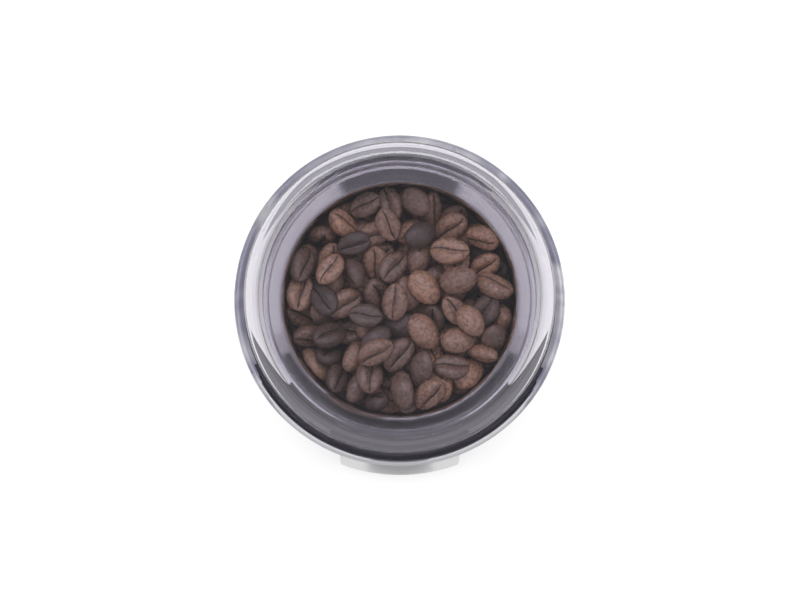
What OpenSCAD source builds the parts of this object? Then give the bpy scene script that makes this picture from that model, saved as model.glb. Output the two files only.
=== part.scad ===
// Electric spice grinder: press-down smoked lid, lift-out steel bowl with a two-wing
// blade, and a brushed motor in a waisted housing with a steel front panel.
// Millimetres. +Z up, origin on the standing surface under the motor axis, front is -Y.

/* [Bowl] */
// Inside radius of the steel bowl
bowl_r = 34; // [32:0.5:36]
// Depth of the bowl's straight wall
bowl_depth = 50.1; // [46:0.5:56]
// Sheet thickness of the bowl
bowl_t = 0.9; // [0.7:0.1:1.2]
// How far the flared lip stands out beyond the inside of the bowl
lip_reach = 6; // [5:0.5:7]
// Height of the flared lip
lip_h = 6; // [5.5:0.1:7]
// Radius of the bead on the lip's edge
bead_r = 0.9; // [0.7:0.1:1.1]
// Wall of the plastic ring under the bowl
ring_t = 1.9; // [1.6:0.1:2.4]
// Height of the plastic ring around the bowl's foot
ring_h = 27.7; // [22:0.5:32]
// Number of keys that stop the bowl turning
key_count = 3; // [3:1:5]

/* [Blade] */
// Tip radius of the blade
blade_r = 30; // [27:0.5:31]
// Thickness of the blade
blade_t = 1.5; // [1.2:0.1:1.8]
// Width of a blade wing at its root
blade_w = 12; // [9:0.5:14]
// Upward bend of one wing's tip, in degrees
tip_up = 24; // [10:1:30]
// Downward bend of the other wing's tip, in degrees
tip_down = 14; // [5:1:18]
// Height of the hub that carries the blade
hub_h = 6.1; // [5.5:0.1:8]

/* [Lid] */
// Height of the lid above the bowl's rim
headroom = 33; // [26:1:42]
// Wall of the lid
lid_t = 2.2; // [1.8:0.1:2.6]
// Inward draft of the lid's wall from flange to crown
lid_draft = 1; // [0.5:0.1:1.5]
// Radius of the lid's crown edge
crown_r = 3; // [2.4:0.1:3.6]
// Depth of the recess in the lid's top
recess_d = 0.8; // [0.4:0.1:1]
// Travel of the lid when it is pressed
press = 3.5; // [2.5:0.1:4.5]
// Direction of the lid's key, counted from +X
key_angle = 148.5; // [140:0.5:155]
// Width of the lid's key
key_w = 7.4; // [6:0.1:9]

/* [Collar] */
// Height of the neck that the lid fits over
neck_h = 12; // [10:0.5:14]
// Wall of the well that holds the bowl
well_t = 2.4; // [2.1:0.1:2.8]
// Thickness of the deck and the well's floor
floor_t = 2.5; // [2:0.1:3]
// Thickness of the collar's flange on the housing
flange_t = 2; // [1.6:0.1:3]

/* [Housing] */
// Wall of the housing
wall = 2; // [1.8:0.1:2.4]
// How far the housing's ends stand out beyond its waist
end_flare = 2.3; // [1:0.1:3]
// How far the base stands out beyond the housing
base_flare = 2.9; // [1.5:0.1:4]
// Height of the base pan's rim
base_rim_h = 11; // [10:0.5:14]
// Thickness of the base pan's floor
plate_t = 2.5; // [2:0.1:3]
// Height of the rubber feet
foot_h = 3; // [2:0.5:5]
// Radius of the rubber feet
foot_r = 6.5; // [5:0.5:8]

/* [Front panel] */
// Width of the steel front panel
panel_w = 41; // [34:0.5:46]
// Sheet thickness of the front panel
panel_t = 1.2; // [0.8:0.1:1.6]
// How far the panel's toe stands out beyond the waist
toe_reach = 11.2; // [8:0.2:13]
// Height at which the toe starts to flare
toe_h = 48; // [40:1:60]
// Corner radius of the toe, seen from above
toe_corner = 4.5; // [3:0.5:6]

/* [Motor] */
// Radius of the motor shaft and of the blade's spindle
shaft_r = 3; // [2.5:0.1:3.5]
// Running clearance of a shaft in its bearing
running = 0.04; // [0.02:0.01:0.08]
// Height of the lamination stack
stack_h = 27; // [22:1:32]
// Radius of the armature
armature_r = 17; // [15:0.5:18]
// Air gap between armature and stator
air_gap = 0.6; // [0.4:0.1:0.8]
// Half width of the stator across the brushes
stator_x = 27; // [25.5:0.5:28.5]
// Half width of the stator along the poles
stator_y = 31; // [30:0.5:32]
// Radius of the commutator
commutator_r = 10.5; // [9:0.5:12]
// Height of the commutator
commutator_h = 9; // [8:0.5:11]
// Radius of the cooling fan
fan_r = 23.5; // [19:0.5:24]
// Height of the cooling fan
fan_h = 6; // [4:0.5:7]
// Number of fan blades
fan_blades = 9; // [7:1:12]
// Height of the rubber mounts above the motor
damper_h = 6.5; // [5:0.5:8]

/* [Coupling] */
// Number of dogs on each half of the coupling
dogs = 3; // [2:1:4]
// Height of a dog
dog_h = 3; // [2.5:0.1:4]
// Outer radius of the coupling
coupling_r = 11; // [10:0.5:11.5]

/* [Cord entry] */
// Radius of the cord's hole in the gland
cord_r = 3; // [2.5:0.1:3.5]
// Height of the cord entry above the base pan's floor
entry_h = 17; // [15:0.5:19]

/* [Hidden] */
$fn = 96;
eps = 0.01; // keeps flat faces of one body just apart
cut = 1; // how far a cutting shape runs past what it cuts
gap = 0.3; // rest gap between bodies
slip = 0.4; // radial gap of parts that slide past each other
fit = 0.1; // assembly gap of parts of one body

// ---- radii, from the bowl outwards ----
bowl_out_r = bowl_r + bowl_t;
ring_in_r = bowl_out_r + fit;
ring_out_r = ring_in_r + ring_t;
well_r = ring_out_r + slip;
well_out_r = well_r + well_t;
pin_r = 1.3; // interlock rod
spring_wire = 0.2; // radius of the spring's wire
spring_r = pin_r + 0.5; // mean radius of the plunger spring
pin_at = well_out_r + spring_r + spring_wire + slip; // the rod's distance from the axis
waist_r = pin_at + spring_r + spring_wire + slip / 4 + wall;
end_r = waist_r + end_flare;
base_r = end_r + base_flare;
toe_r = waist_r + toe_reach;
neck_r = end_r - 1.8;
neck_t = 2; // wall of the neck
spigot_r = neck_r - 1.4; // plugs into the housing
lip_r = bowl_r + lip_reach; // centre of the lip's bead
skirt_in_r = neck_r + 0.5;
skirt_out_r = end_r + slip;
lid_in_r = lip_r + bead_r + 0.7;
lid_out_r = lid_in_r + lid_t;

// ---- heights, from the table upwards ----
z_plate = foot_h;
z_pan = z_plate + plate_t; // top of the base pan's floor
z_rim = z_plate + base_rim_h; // the housing stands here
bolt_head_h = 2.5;
bolt_room = 2; // from the pan's floor to the bolt heads
bracket_t = 3; // motor brackets
z_low = z_pan + bolt_room + bolt_head_h; // underside of the lower bracket
z_comm = z_low + bracket_t + 3;
z_stack = z_comm + commutator_h + 4;
z_stack_top = z_stack + stack_h;
turns_h = 4.5; // end turns above the stack
turns_below = 3.5; // end turns below the stack
z_fan = z_stack_top + turns_h + 2;
z_top_bracket = z_fan + fan_h + 3.5;
z_floor_under = z_top_bracket + bracket_t + damper_h;
z_floor = z_floor_under + floor_t;
coupler_hub_h = 3.4;
z_drive = z_floor + 0.8; // underside of the driving coupler
z_dogs = z_drive + coupler_hub_h;
dog_gap = 0.4; // from a dog's end to the other half
driven_h = 2.6;
z_driven = z_dogs + dog_h + dog_gap;
nut_h = 3; // bowl hub nut
z_nut = z_driven + driven_h + gap;
web_t = 2.5; // web of the bowl's plastic foot
z_web = z_nut + nut_h;
z_cup = z_web + web_t;
z_cup_in = z_cup + bowl_t;
z_lip = z_cup_in + bowl_depth;
z_bead = z_lip + lip_h; // centre of the lip's bead
z_rim_top = z_bead + bead_r;
lip_gap = 17; // the lip's bead stands this far above the deck
z_deck = z_bead - lip_gap;
z_shoulder = z_deck - neck_h;
z_housing_top = z_shoulder - flange_t;
stop_gap = 0.5; // left under the lid when it is fully pressed
z_skirt = z_shoulder + press + stop_gap;
z_flange_under = z_deck + press + stop_gap;
z_flange = z_flange_under + lid_t;
z_lid_top = z_rim_top + headroom;
z_waist = (z_rim + z_housing_top) / 2;

// ---- housing outline: one large arc, and the toe's arc that leaves it at a tangent ----
half_h = z_housing_top - z_waist;
arc_r = (half_h * half_h + end_flare * end_flare) / (2 * end_flare);
arc_c = [waist_r + arc_r, z_waist];
function body_r(z) = arc_c.x - sqrt(arc_r * arc_r - (z - z_waist) * (z - z_waist));
panel_gap = 0.1; // between panel and housing
panel_out = panel_t + panel_gap; // panel's outer face above the housing
toe_p = [body_r(toe_h) + panel_out, toe_h];
toe_u = (arc_c - toe_p) / norm(arc_c - toe_p);
z_toe = z_plate + 3; // the toe is vertical below this
toe_e = [toe_r, z_toe];
toe_arc_r = pow(norm(toe_e - toe_p), 2) / (2 * (toe_e - toe_p) * toe_u);
toe_c = toe_p + toe_arc_r * toe_u;
z_panel = z_plate + 0.6; // lower edge of the panel
z_panel_top = z_housing_top - 4;
rim_t = 2.5; // wall of the base pan

// ---- screw places and fasteners ----
screw_r = 1.5;
screw_free = 0.2; // clearance of a screw in a through hole
recess_w = 0.8; // width of a cross recess
boss_r = 3.5;
base_screw_at = end_r - 5;
base_screw_angles = [45, 135, 225, 315];
base_head_r = 2.9;
z_base_seat = z_plate + 6; // the base screws' heads sit here
z_lug = z_housing_top - 18; // underside of the housing's lugs
lug_t = 4;
deck_head_h = 2.2;
deck_screw_at = (well_out_r + body_r(z_lug - deck_head_h) - wall) / 2; // midway from well to wall
deck_screw_angles = [25, 100, 205, 335];
foot_at = end_r - 8.6;
foot_angles = [0, 90, 180, 270];
foot_stem_r = 2.5;
z_stem = z_pan + 1.2; // top of the feet's stems
damper_at = 27;
damper_r = 4.5;
damper_angles = [0, 90, 180, 270];
damper_head_h = 2.3;
damper_boss_h = 4.5; // bosses on the well's floor above the dampers
bolt_r = 2;
bolt_at = [[21, 25], [-21, -25]];
bolt_nut_h = 3.2;
stud_r = 1.5; // weld studs of the panel
stud_len = 6.4;
stud_z = [z_rim + 24, z_panel_top - 14];

// ---- cord entry ----
z_cord = z_pan + entry_h;
gland_r = cord_r + 2;
gland_flange_r = gland_r + 1.8;
gland_flange_t = 1.8;
gland_end = toe_r; // the gland reaches as far back as the toe reaches forwards
gland_out = body_r(z_cord - gland_flange_r) + fit; // seat outside the wall
gland_in = sqrt(pow(body_r(z_cord + gland_flange_r) - wall, 2) - pow(gland_flange_r, 2)) - fit;
gland_start = gland_in - gland_flange_t;
clamp_y = [34.5, 38.5];
clamp_mid = (clamp_y[0] + clamp_y[1]) / 2;
clamp_half = 12;
clamp_z = [z_cord + 0.8, z_cord + 4.8];
post_x = 8.5; // the clamp's screws
saddle_half = 5.5; // notch that the cord lies in
clamp_gap = 0.2; // from the saddle's posts to the clamp
clamp_screw_len = 12;

// ---- motor ----
bearing_r = 6.5;
bearing_over = 1.4; // a bearing stands out of its bracket on both sides
cup_r = 9; // bearing cup of a bracket
cup_over = 0.4; // the cup is this much longer than the bearing
bracket_r = 31.5;
leg_r = 4.5; // legs between brackets and stack
window_r = [13, 21]; // arc-shaped windows of a bracket
window_angle = 44;
pole_half = 10;
coil_half = 16;
coil_gap = 0.3; // around the coils in the stack
coil_y = [armature_r + air_gap + 1.2, armature_r + air_gap + 6.4];
holder_r = [12.5, 27]; // brush holder, from the axis
holder_half = 5;
holder_end_t = 1.2; // closed outer end
brush_half = 3.2;
brush_end = 19;
z_brush = z_comm + commutator_h / 2;
slots = 12; // armature slots and commutator bars

// ---- bowl and blade ----
hub_shank_r = 7;
hub_top_r = 6.5;
bush_r = 4.5;
z_blade = z_cup_in + hub_h + 2;
z_washer = z_blade + blade_t;
washer_t = 0.8;
blade_nut_h = 4.5;
dome_h = 1.5; // domed top of the blade's nut
nut_skin = 1.2; // the nut closes over the spindle's end
tip_len = 10; // bent part of each wing
fold = blade_r - tip_len;
dog_in = 5.2; // inside radius of the dogs
dog_angle = 40; // arc of one dog, which leaves play on both sides of the mating dog
key_half = 3; // bowl keys
groove_half = key_half + 0.5;
key_out = well_r + 0.9;

// ---- lid ----
seal_h = 3.2;
z_seal = z_rim_top + gap / 2;
z_ledge = z_seal + seal_h + press + gap;
crown_top_r = lid_out_r - lid_draft; // outside of the wall at the crown
recess_r = crown_top_r - crown_r; // the recessed flat top
z_recess = z_lid_top - recess_d;
z_inner_top = z_recess - lid_t;
seal_in_r = lip_r - 2.2;
seal_out_r = lid_in_r - 0.2;
bead_h = 0.4; // small bead that keeps the seal in the lid

// ---- interlock, in a frame turned to key_angle: x outwards, y along the wall ----
z_key = z_skirt; // lower end of the lid's key
key_in_r = lip_r + bead_r + slip / 2; // inner face of the key
key_t = 1.5; // walls of the hollow key
slot_half = key_w / 2 + gap;
slot_in_r = key_in_r - 0.6;
head_h = 2.5; // head of the interlock rod
head_half = 2.6;
z_head = z_key - gap - head_h;
z_slot = z_head - press - gap; // floor of the keyway
z_guide = z_slot - 17; // underside of the rod's guide
z_collet = z_floor + 16; // shoulder of the rod that the spring pushes
collet_t = 1.2;
arm_half = 2.5; // arm of the well's floor that the spring stands on
switch_size = [5.8, 20, 10];
switch_in = 7.6; // the switch's inner side stands this far inside the rod's pin
switch_low = [pin_at - switch_in, -16]; // inner corner
z_switch = z_floor_under - 11.5; // top of the switch
z_switch_low = z_switch - switch_size.z;
switch_high = [switch_low.x + switch_size.x, switch_low.y + switch_size.y];
switch_mid_x = switch_low.x + switch_size.x / 2;
switch_screw_y = [switch_low.y + 4, switch_high.y - 4];
switch_screw_r = 1.1;
z_switch_screw = z_switch - switch_size.z / 2;
hanger_t = 1.4; // tongue under the well's floor that carries the switch
hanger_x = switch_low.x - hanger_t;
ear_t = 0.5; // the lever's pin is held between two ears
hinge_y = switch_low.y + 2;
hinge_pin_r = 0.4;
z_hinge = z_switch + 0.8;
lever_len = 17;
lever_angle = 20;
lever_t = 0.5;
lever_eye_r = 0.7;
foot_half = 2; // half width of the rod's foot
z_rod_foot = z_hinge + (foot_half - hinge_y) * tan(lever_angle) + lever_t + gap;
rod_foot_h = 2;
button_y = hinge_y + 4.5;
button_r = 1;
button_in = 1.8; // part of the button inside the switch
z_button = z_switch + 1.5;

// ---- circuit board ----
board_x = waist_r - 10.2;
board_t = 1.6;
board_half = 13;
board_h = 26;
z_board = z_pan + 1.8;
rail_t = 3; // the rails that hold the board's edges
rail_h = 14;
rail_over = 1.5; // the rails reach past the board's faces
groove = 1.1; // depth of the board's edge in a rail
capacitor_size = [4.4, 14, 12];
fuse_r = 1.2;
fuse_len = 10;

// ======== small helpers ========
module disc(r, z0, z1) {
    translate([0, 0, z0]) cylinder(r = r, h = z1 - z0);
}
module ring(r_out, r_in, z0, z1) {
    difference() {
        disc(r_out, z0, z1);
        disc(r_in, z0 - cut, z1 + cut);
    }
}
module block(x, y, z) { // [low, high] on each axis
    translate([x[0], y[0], z[0]]) cube([x[1] - x[0], y[1] - y[0], z[1] - z[0]]);
}
module around(angles, r) {
    for (a = angles) rotate([0, 0, a]) translate([r, 0, 0]) children();
}
module at_bowl_keys() {
    for (i = [0:key_count - 1]) rotate([0, 0, 90 + 360 * i / key_count]) children();
}
module at_bolts() {
    for (p = bolt_at) translate([p.x, p.y, 0]) children();
}
module at_key() {
    rotate([0, 0, key_angle]) children();
}
module both_sides() {
    for (turn = [0, 180]) rotate([0, 0, turn]) children();
}
// Screw along Z: shank and head as [low, high], with a cross recess in the head's underside
module screw(r, shank, head, head_r) {
    arm = head_r * 0.6;
    disc(r, shank[0], shank[1]);
    difference() {
        disc(head_r, head[0], head[1]);
        for (a = [0, 90]) rotate([0, 0, a])
            block([-arm, arm], [-recess_w / 2, recess_w / 2], [head[0] - cut, head[0] + 1]);
    }
}
module hex_nut(flats, bore_r, z0, z1) {
    difference() {
        translate([0, 0, z0]) cylinder(r = flats / sqrt(3), h = z1 - z0, $fn = 6);
        disc(bore_r, z0 - cut, z1 + cut);
    }
}
module rounded_rect(x, y, r) { // half sizes
    for (s = [-1, 1]) for (t = [-1, 1]) translate([s * (x - r), t * (y - r)]) circle(r);
    square([2 * x, 2 * (y - r)], center = true);
    square([2 * (x - r), 2 * y], center = true);
}
// Helical spring of round wire standing on z0
module spring(mean_r, wire_r, z0, h, turns) {
    steps = turns * 16;
    sides = 6;
    rise = (h - 2 * wire_r) / steps;
    function wire_point(i, b) =
        let (a = i * 360 * turns / steps, r = mean_r + wire_r * cos(b))
        [r * cos(a), r * sin(a), z0 + wire_r + i * rise + wire_r * sin(b)];
    points = [for (i = [0:steps]) for (j = [0:sides - 1]) wire_point(i, j * 360 / sides)];
    skin = [for (i = [0:steps - 1]) for (j = [0:sides - 1]) let (k = (j + 1) % sides)
        [i * sides + j, (i + 1) * sides + j, (i + 1) * sides + k, i * sides + k]];
    low_end = [for (j = [0:sides - 1]) j];
    high_end = [for (j = [sides - 1:-1:0]) steps * sides + j];
    polyhedron(points = points, faces = concat(skin, [low_end, high_end]), convexity = 10);
}

// ======== outlines shared by housing, base and panel ========
// Solid inside the waisted wall, moved inwards by off
module body_solid(off, z0, z1) {
    rotate_extrude() difference() {
        translate([0, z0]) square([end_r - off + cut, z1 - z0]);
        translate(arc_c) circle(arc_r + off, $fn = 360);
        translate([end_r - off, z0 - cut]) square([2 * cut, z1 - z0 + 2 * cut]);
    }
}
// Revolved outline of the toe, moved inwards by off
module toe_solid(off, z0, z1) {
    rotate_extrude() difference() {
        translate([0, z0]) square([toe_r - off, z1 - z0]);
        intersection() {
            translate(toe_c) circle(toe_arc_r + off, $fn = 360);
            translate([0, z_toe]) square([toe_r + cut, toe_h - z_toe]);
        }
        intersection() {
            translate(arc_c) circle(arc_r + off - panel_out, $fn = 360);
            translate([0, toe_h - eps]) square([toe_r + cut, z1 - toe_h + cut]);
        }
    }
}
// Plan of the panel and of the lobe behind it, narrower by off at each side
module toe_plan(off, z0, z1) {
    half = panel_w / 2 - off;
    r = max(toe_corner - off, 0.5);
    front = -toe_r + off;
    translate([0, 0, z0]) linear_extrude(z1 - z0) {
        translate([-half, front + r]) square([2 * half, -front - r]);
        for (s = [-1, 1]) intersection() {
            translate([s * (half - r), front + r + 1]) circle(r);
            translate([-half, front]) square([2 * half, -front]);
        }
        translate([-half + r, front]) square([2 * (half - r), 2 * r]);
    }
}
// Lobe of the housing or the pan behind the panel
module lobe(off, z0, z1) {
    intersection() {
        toe_solid(panel_out + off, z0, z1);
        toe_plan(panel_out + off, z0, z1);
    }
}

// ======== base ========
module feet() {
    color("dimgray") around(foot_angles, foot_at) {
        disc(foot_r, 0, foot_h);
        disc(foot_stem_r, foot_h - eps, z_stem);
    }
}
module vent_slots() {
    slot_len = 12;
    slot_half = 1.5;
    for (i = [0:11]) rotate([0, 0, 15 + 30 * i]) translate([14, 0, z_plate - cut])
        linear_extrude(plate_t + 2 * cut) {
            translate([0, -slot_half]) square([slot_len, 2 * slot_half]);
            for (x = [0, slot_len]) translate([x, 0]) circle(slot_half, $fn = 24);
        }
}
module board_rails() {
    room = board_half + fit;
    difference() {
        block([board_x - rail_over, board_x + board_t + rail_over], [-room - rail_t, room + rail_t],
            [z_plate + cut, z_board + rail_h]);
        block([0, end_r], [groove - room, room - groove], [z_plate, z_board + rail_h + cut]);
        block([board_x - fit, board_x + board_t + fit], [-room, room], [z_board - fit, z_board + board_h]);
    }
}
module cord_saddle() {
    z_top = clamp_z[0] - clamp_gap;
    difference() {
        block([-clamp_half, clamp_half], clamp_y, [z_plate + cut, z_top]);
        block([-saddle_half, saddle_half], [clamp_y[0] - cut, clamp_y[1] + cut],
            [z_cord - cord_r, z_top + cut]);
        at_posts() disc(screw_r, clamp_z[1] - clamp_screw_len - 0.4, z_top + cut);
    }
}
module base_cover() {
    edge = 0.6; // bevel of the lower edge
    color([0.1, 0.1, 0.11]) difference() {
        union() {
            difference() {
                union() {
                    rotate_extrude() polygon([
                        [0, z_plate], [base_r - edge, z_plate], [base_r, z_plate + edge],
                        [base_r, z_plate + 3], [end_r, z_rim], [0, z_rim]]);
                    lobe(0, z_plate, z_rim);
                }
                disc(end_r - rim_t, z_pan, z_rim + cut);
                lobe(rim_t, z_pan, z_rim + cut);
            }
            around(base_screw_angles, base_screw_at) disc(boss_r + 1, z_plate + cut, z_rim - gap);
            board_rails();
            cord_saddle();
        }
        around(base_screw_angles, base_screw_at) {
            disc(base_head_r + screw_free, z_plate - cut, z_base_seat);
            disc(screw_r + screw_free, z_plate, z_rim + cut);
        }
        around(foot_angles, foot_at) disc(foot_stem_r, z_plate - cut, z_stem + cut);
        vent_slots();
    }
}
module base_screws() {
    head_low = z_base_seat - 2.4;
    color("silver") around(base_screw_angles, base_screw_at)
        screw(screw_r, [z_base_seat - fit, z_rim + 12], [head_low, z_base_seat], base_head_r);
}
module cord_hole(r, y0, y1) { // along +Y at the height of the cord entry
    translate([0, y0, z_cord]) rotate([-90, 0, 0]) cylinder(r = r, h = y1 - y0);
}
module at_posts() {
    for (s = [-1, 1]) translate([s * post_x, clamp_mid, 0]) children();
}
module cord_gland() {
    color([0.12, 0.12, 0.12]) difference() {
        union() {
            cord_hole(gland_r, gland_start, gland_end);
            cord_hole(gland_flange_r, gland_out, gland_out + 2.4);
            cord_hole(gland_flange_r, gland_start, gland_in);
        }
        cord_hole(cord_r, gland_start - cut, gland_end + cut);
    }
}
module cord_clamp() {
    color([0.85, 0.85, 0.8]) difference() {
        block([-clamp_half, clamp_half], clamp_y, clamp_z);
        cord_hole(cord_r, clamp_y[0] - cut, clamp_y[1] + cut);
        at_posts() disc(screw_r + fit, clamp_z[0] - cut, clamp_z[1] + cut);
    }
}
module cord_clamp_screws() {
    color("silver") at_posts() translate([0, 0, clamp_z[1]]) mirror([0, 0, 1])
        screw(screw_r, [-fit, clamp_screw_len], [-2, 0], 2.8);
}

// ======== housing and panel ========
module housing() {
    color([0.1, 0.1, 0.11]) difference() {
        union() {
            body_solid(0, z_rim, z_housing_top);
            lobe(0, z_rim, z_panel_top - 6);
        }
        // bosses for the base screws and lugs for the collar's screws stay inside the shell
        difference() {
            union() {
                body_solid(wall, z_rim - cut, z_housing_top + cut);
                lobe(wall, z_rim - cut, toe_h);
            }
            around(base_screw_angles, base_screw_at) disc(boss_r, z_rim, z_rim + 20);
            around(deck_screw_angles, deck_screw_at) disc(boss_r, z_lug, z_lug + lug_t);
        }
        around(base_screw_angles, base_screw_at) disc(screw_r, z_rim - cut, z_rim + 14);
        around(deck_screw_angles, deck_screw_at) disc(screw_r + screw_free, z_lug - cut, z_lug + lug_t + cut);
        disc(well_out_r + gap, z_lug - cut, z_lug + lug_t + cut);
        cord_hole(gland_r, clamp_y[1], end_r + cut);
        for (z = stud_z) translate([0, 0, z]) rotate([90, 0, 0]) cylinder(r = stud_r + fit, h = toe_r);
    }
}
module panel_face() { // seen from the front, upper corners rounded
    r = 6;
    half = panel_w / 2;
    translate([-half, 0]) square([2 * half, z_panel_top - r]);
    translate([-half + r, 0]) square([2 * (half - r), z_panel_top]);
    for (s = [-1, 1]) translate([s * (half - r), z_panel_top - r]) circle(r);
}
module front_panel() {
    color([0.78, 0.78, 0.79]) intersection() {
        difference() {
            toe_solid(0, z_panel, z_panel_top);
            toe_solid(panel_t, z_panel - cut, z_panel_top + cut);
        }
        toe_plan(0, z_panel - cut, z_panel_top + cut);
        translate([0, 1, 0]) rotate([90, 0, 0]) linear_extrude(toe_r + 2) panel_face();
    }
}
// Distance from the axis to the panel's back
function panel_back(z) = z < toe_h
    ? toe_c.x - sqrt(pow(toe_arc_r + panel_t, 2) - pow(z - toe_c.y, 2))
    : body_r(z) + panel_gap;
// Distance from the axis to the inside of the wall behind the panel
function wall_in(z) = z < toe_h ? panel_back(z) - panel_gap - wall : body_r(z) - wall;
module panel_studs() {
    color("silver") intersection() {
        for (z = stud_z) translate([0, -panel_back(z) + stud_len, z])
            rotate([90, 0, 0]) cylinder(r = stud_r, h = stud_len + cut);
        toe_solid(panel_t + eps, z_panel, z_panel_top);
    }
}
module panel_nuts() {
    nut_h = 2.4;
    color("silver") for (z = stud_z) translate([0, -wall_in(z) + nut_h + 0.5, z])
        rotate([90, 0, 0]) hex_nut(5.5, stud_r, 0, nut_h);
}

// ======== collar: flange, neck, deck and the well that holds the bowl ========
module collar_body() {
    neck_in_r = neck_r - neck_t;
    spigot_in_r = spigot_r - neck_t;
    z_spigot = z_housing_top - 8;
    edge = 1;
    rotate_extrude() polygon([
        [0, z_floor_under], [well_out_r, z_floor_under],
        [well_out_r, z_deck - floor_t], [neck_in_r, z_deck - floor_t],
        [neck_in_r, z_shoulder - edge], [spigot_in_r, z_shoulder - edge],
        [spigot_in_r, z_spigot], [spigot_r, z_spigot],
        [spigot_r, z_housing_top], [end_r, z_housing_top],
        [end_r, z_shoulder], [neck_r, z_shoulder],
        [neck_r, z_deck - edge], [neck_r - edge, z_deck],
        [well_r + edge, z_deck], [well_r, z_deck - edge],
        [well_r, z_floor], [0, z_floor]]);
    intersection() {
        around(deck_screw_angles, deck_screw_at) disc(boss_r, z_lug + lug_t, z_deck - edge);
        disc(body_r(z_lug) - wall - fit, z_lug, z_deck);
    }
    around(damper_angles, damper_at) disc(boss_r, z_floor_under, z_floor + damper_boss_h);
    disc(cup_r, z_floor_under - 3, z_floor);
    at_key() {
        block([well_out_r - 1, spigot_r - 0.6], [-slot_half - 1.5, slot_half + 1.5],
            [z_guide, z_deck - edge]);
        block([well_out_r - 1, pin_at + 1.9], [-arm_half, arm_half], [z_floor_under, z_floor]);
        block([hanger_x, switch_low.x], [switch_low.y, switch_high.y + 2], [z_switch_low, z_floor - 1]);
    }
}
module at_switch_screws() { // Z points inwards from the switch's outer face
    for (y = switch_screw_y) translate([switch_high.x, y, z_switch_screw]) rotate([0, -90, 0]) children();
}
module collar() {
    color([0.12, 0.12, 0.13]) difference() {
        collar_body();
        disc(shaft_r + 1.5, z_floor_under - 4, z_floor + cut);
        disc(bearing_r, z_floor_under - 4, z_floor - 1);
        around(deck_screw_angles, deck_screw_at) disc(screw_r, z_lug, z_housing_top - 2);
        around(damper_angles, damper_at) disc(screw_r, z_floor_under - cut, z_floor + damper_boss_h - 1);
        at_bowl_keys() block([well_r - 1, key_out + slip], [-groove_half, groove_half],
            [z_floor + 3, z_deck + cut]);
        at_key() {
            block([slot_in_r, spigot_r - 1], [-slot_half, slot_half], [z_slot, z_deck + cut]);
            block([slot_in_r, neck_r + cut], [-slot_half, slot_half], [z_shoulder, z_deck + cut]);
            translate([pin_at, 0, 0]) disc(pin_r + fit, z_floor_under - cut, z_slot + cut);
            at_switch_screws() disc(switch_screw_r, 0, switch_size.x + hanger_t + cut);
        }
    }
}
module deck_screws() {
    color("silver") around(deck_screw_angles, deck_screw_at)
        screw(screw_r, [z_lug - fit, z_housing_top - 3], [z_lug - deck_head_h, z_lug], 2.5);
}
module shaft_seal() {
    color("darkred") ring(bearing_r - fit, shaft_r + running, z_floor_under - 2.4, z_floor - 1 - fit);
}

// ======== motor, fixed part ========
// Bracket at height z with legs that reach to the stack and a cup for its bearing
module bracket(z, z_stack_end) {
    leg = [min(z, z_stack_end), max(z + bracket_t, z_stack_end)];
    over = bearing_over + cup_over;
    difference() {
        union() {
            disc(bracket_r, z, z + bracket_t);
            at_bolts() disc(leg_r, leg[0], leg[1]);
            disc(cup_r, z - over, z + bracket_t + over);
        }
        disc(bearing_r, z - over - cut, z + bracket_t + over + cut);
        at_bolts() disc(bolt_r + fit, leg[0] - cut, leg[1] + cut);
        for (a = [45:90:315]) rotate([0, 0, a - window_angle / 2]) rotate_extrude(angle = window_angle)
            translate([window_r[0], z - cut]) square([window_r[1] - window_r[0], bracket_t + 2 * cut]);
    }
}
module motor_top_bracket() {
    color("lightslategray") difference() {
        bracket(z_top_bracket, z_stack_top);
        around(damper_angles, damper_at)
            disc(screw_r + fit, z_top_bracket - cut, z_top_bracket + bracket_t + cut);
    }
}
module motor_bottom_bracket() {
    color("lightslategray") {
        bracket(z_low, z_stack);
        both_sides() block([22, holder_r[1]], [-3, 3], [z_low + bracket_t - eps, z_brush - holder_half]);
    }
}
module motor_bolts() {
    z_end = z_top_bracket + bracket_t + bolt_nut_h + 0.2;
    color("silver") at_bolts() screw(bolt_r, [z_low - fit, z_end], [z_low - bolt_head_h, z_low], 3.6);
}
module motor_bolt_nuts() {
    z_nuts = z_top_bracket + bracket_t;
    color("silver") at_bolts() hex_nut(7, bolt_r, z_nuts, z_nuts + bolt_nut_h);
}
module motor_dampers() {
    color("dimgray") around(damper_angles, damper_at)
        ring(damper_r, screw_r + fit, z_top_bracket + bracket_t, z_floor_under);
}
module motor_mount_screws() {
    z_end = z_floor + damper_boss_h - 1.5;
    color("silver") around(damper_angles, damper_at)
        screw(screw_r, [z_top_bracket - fit, z_end], [z_top_bracket - damper_head_h, z_top_bracket], 2.8);
}
module stator_core() {
    window = [coil_half + coil_gap - pole_half, coil_y[1] - coil_y[0] + 2 * coil_gap];
    color("gray") translate([0, 0, z_stack]) linear_extrude(stack_h) difference() {
        rounded_rect(stator_x, stator_y, 8);
        circle(armature_r + air_gap);
        for (side = [0, 1]) mirror([0, side]) for (hand = [0, 1]) mirror([hand, 0])
            translate([pole_half, coil_y[0] - coil_gap]) square(window);
        for (p = bolt_at) translate(p) circle(bolt_r + fit);
    }
}
module field_coils() {
    color("sienna") both_sides() difference() {
        block([-coil_half, coil_half], coil_y, [z_stack - turns_below, z_stack_top + turns_h]);
        block([-pole_half - coil_gap, pole_half + coil_gap], [coil_y[0] - cut, coil_y[1] + cut],
            [z_stack - 0.2, z_stack_top + 0.2]);
    }
}
module bearing(z) {
    ring(bearing_r, shaft_r + running, z - bearing_over, z + bracket_t + bearing_over);
}
module upper_bearing() {
    color("darkgoldenrod") bearing(z_top_bracket);
}
module lower_bearing() {
    color("darkgoldenrod") bearing(z_low);
}
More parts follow.
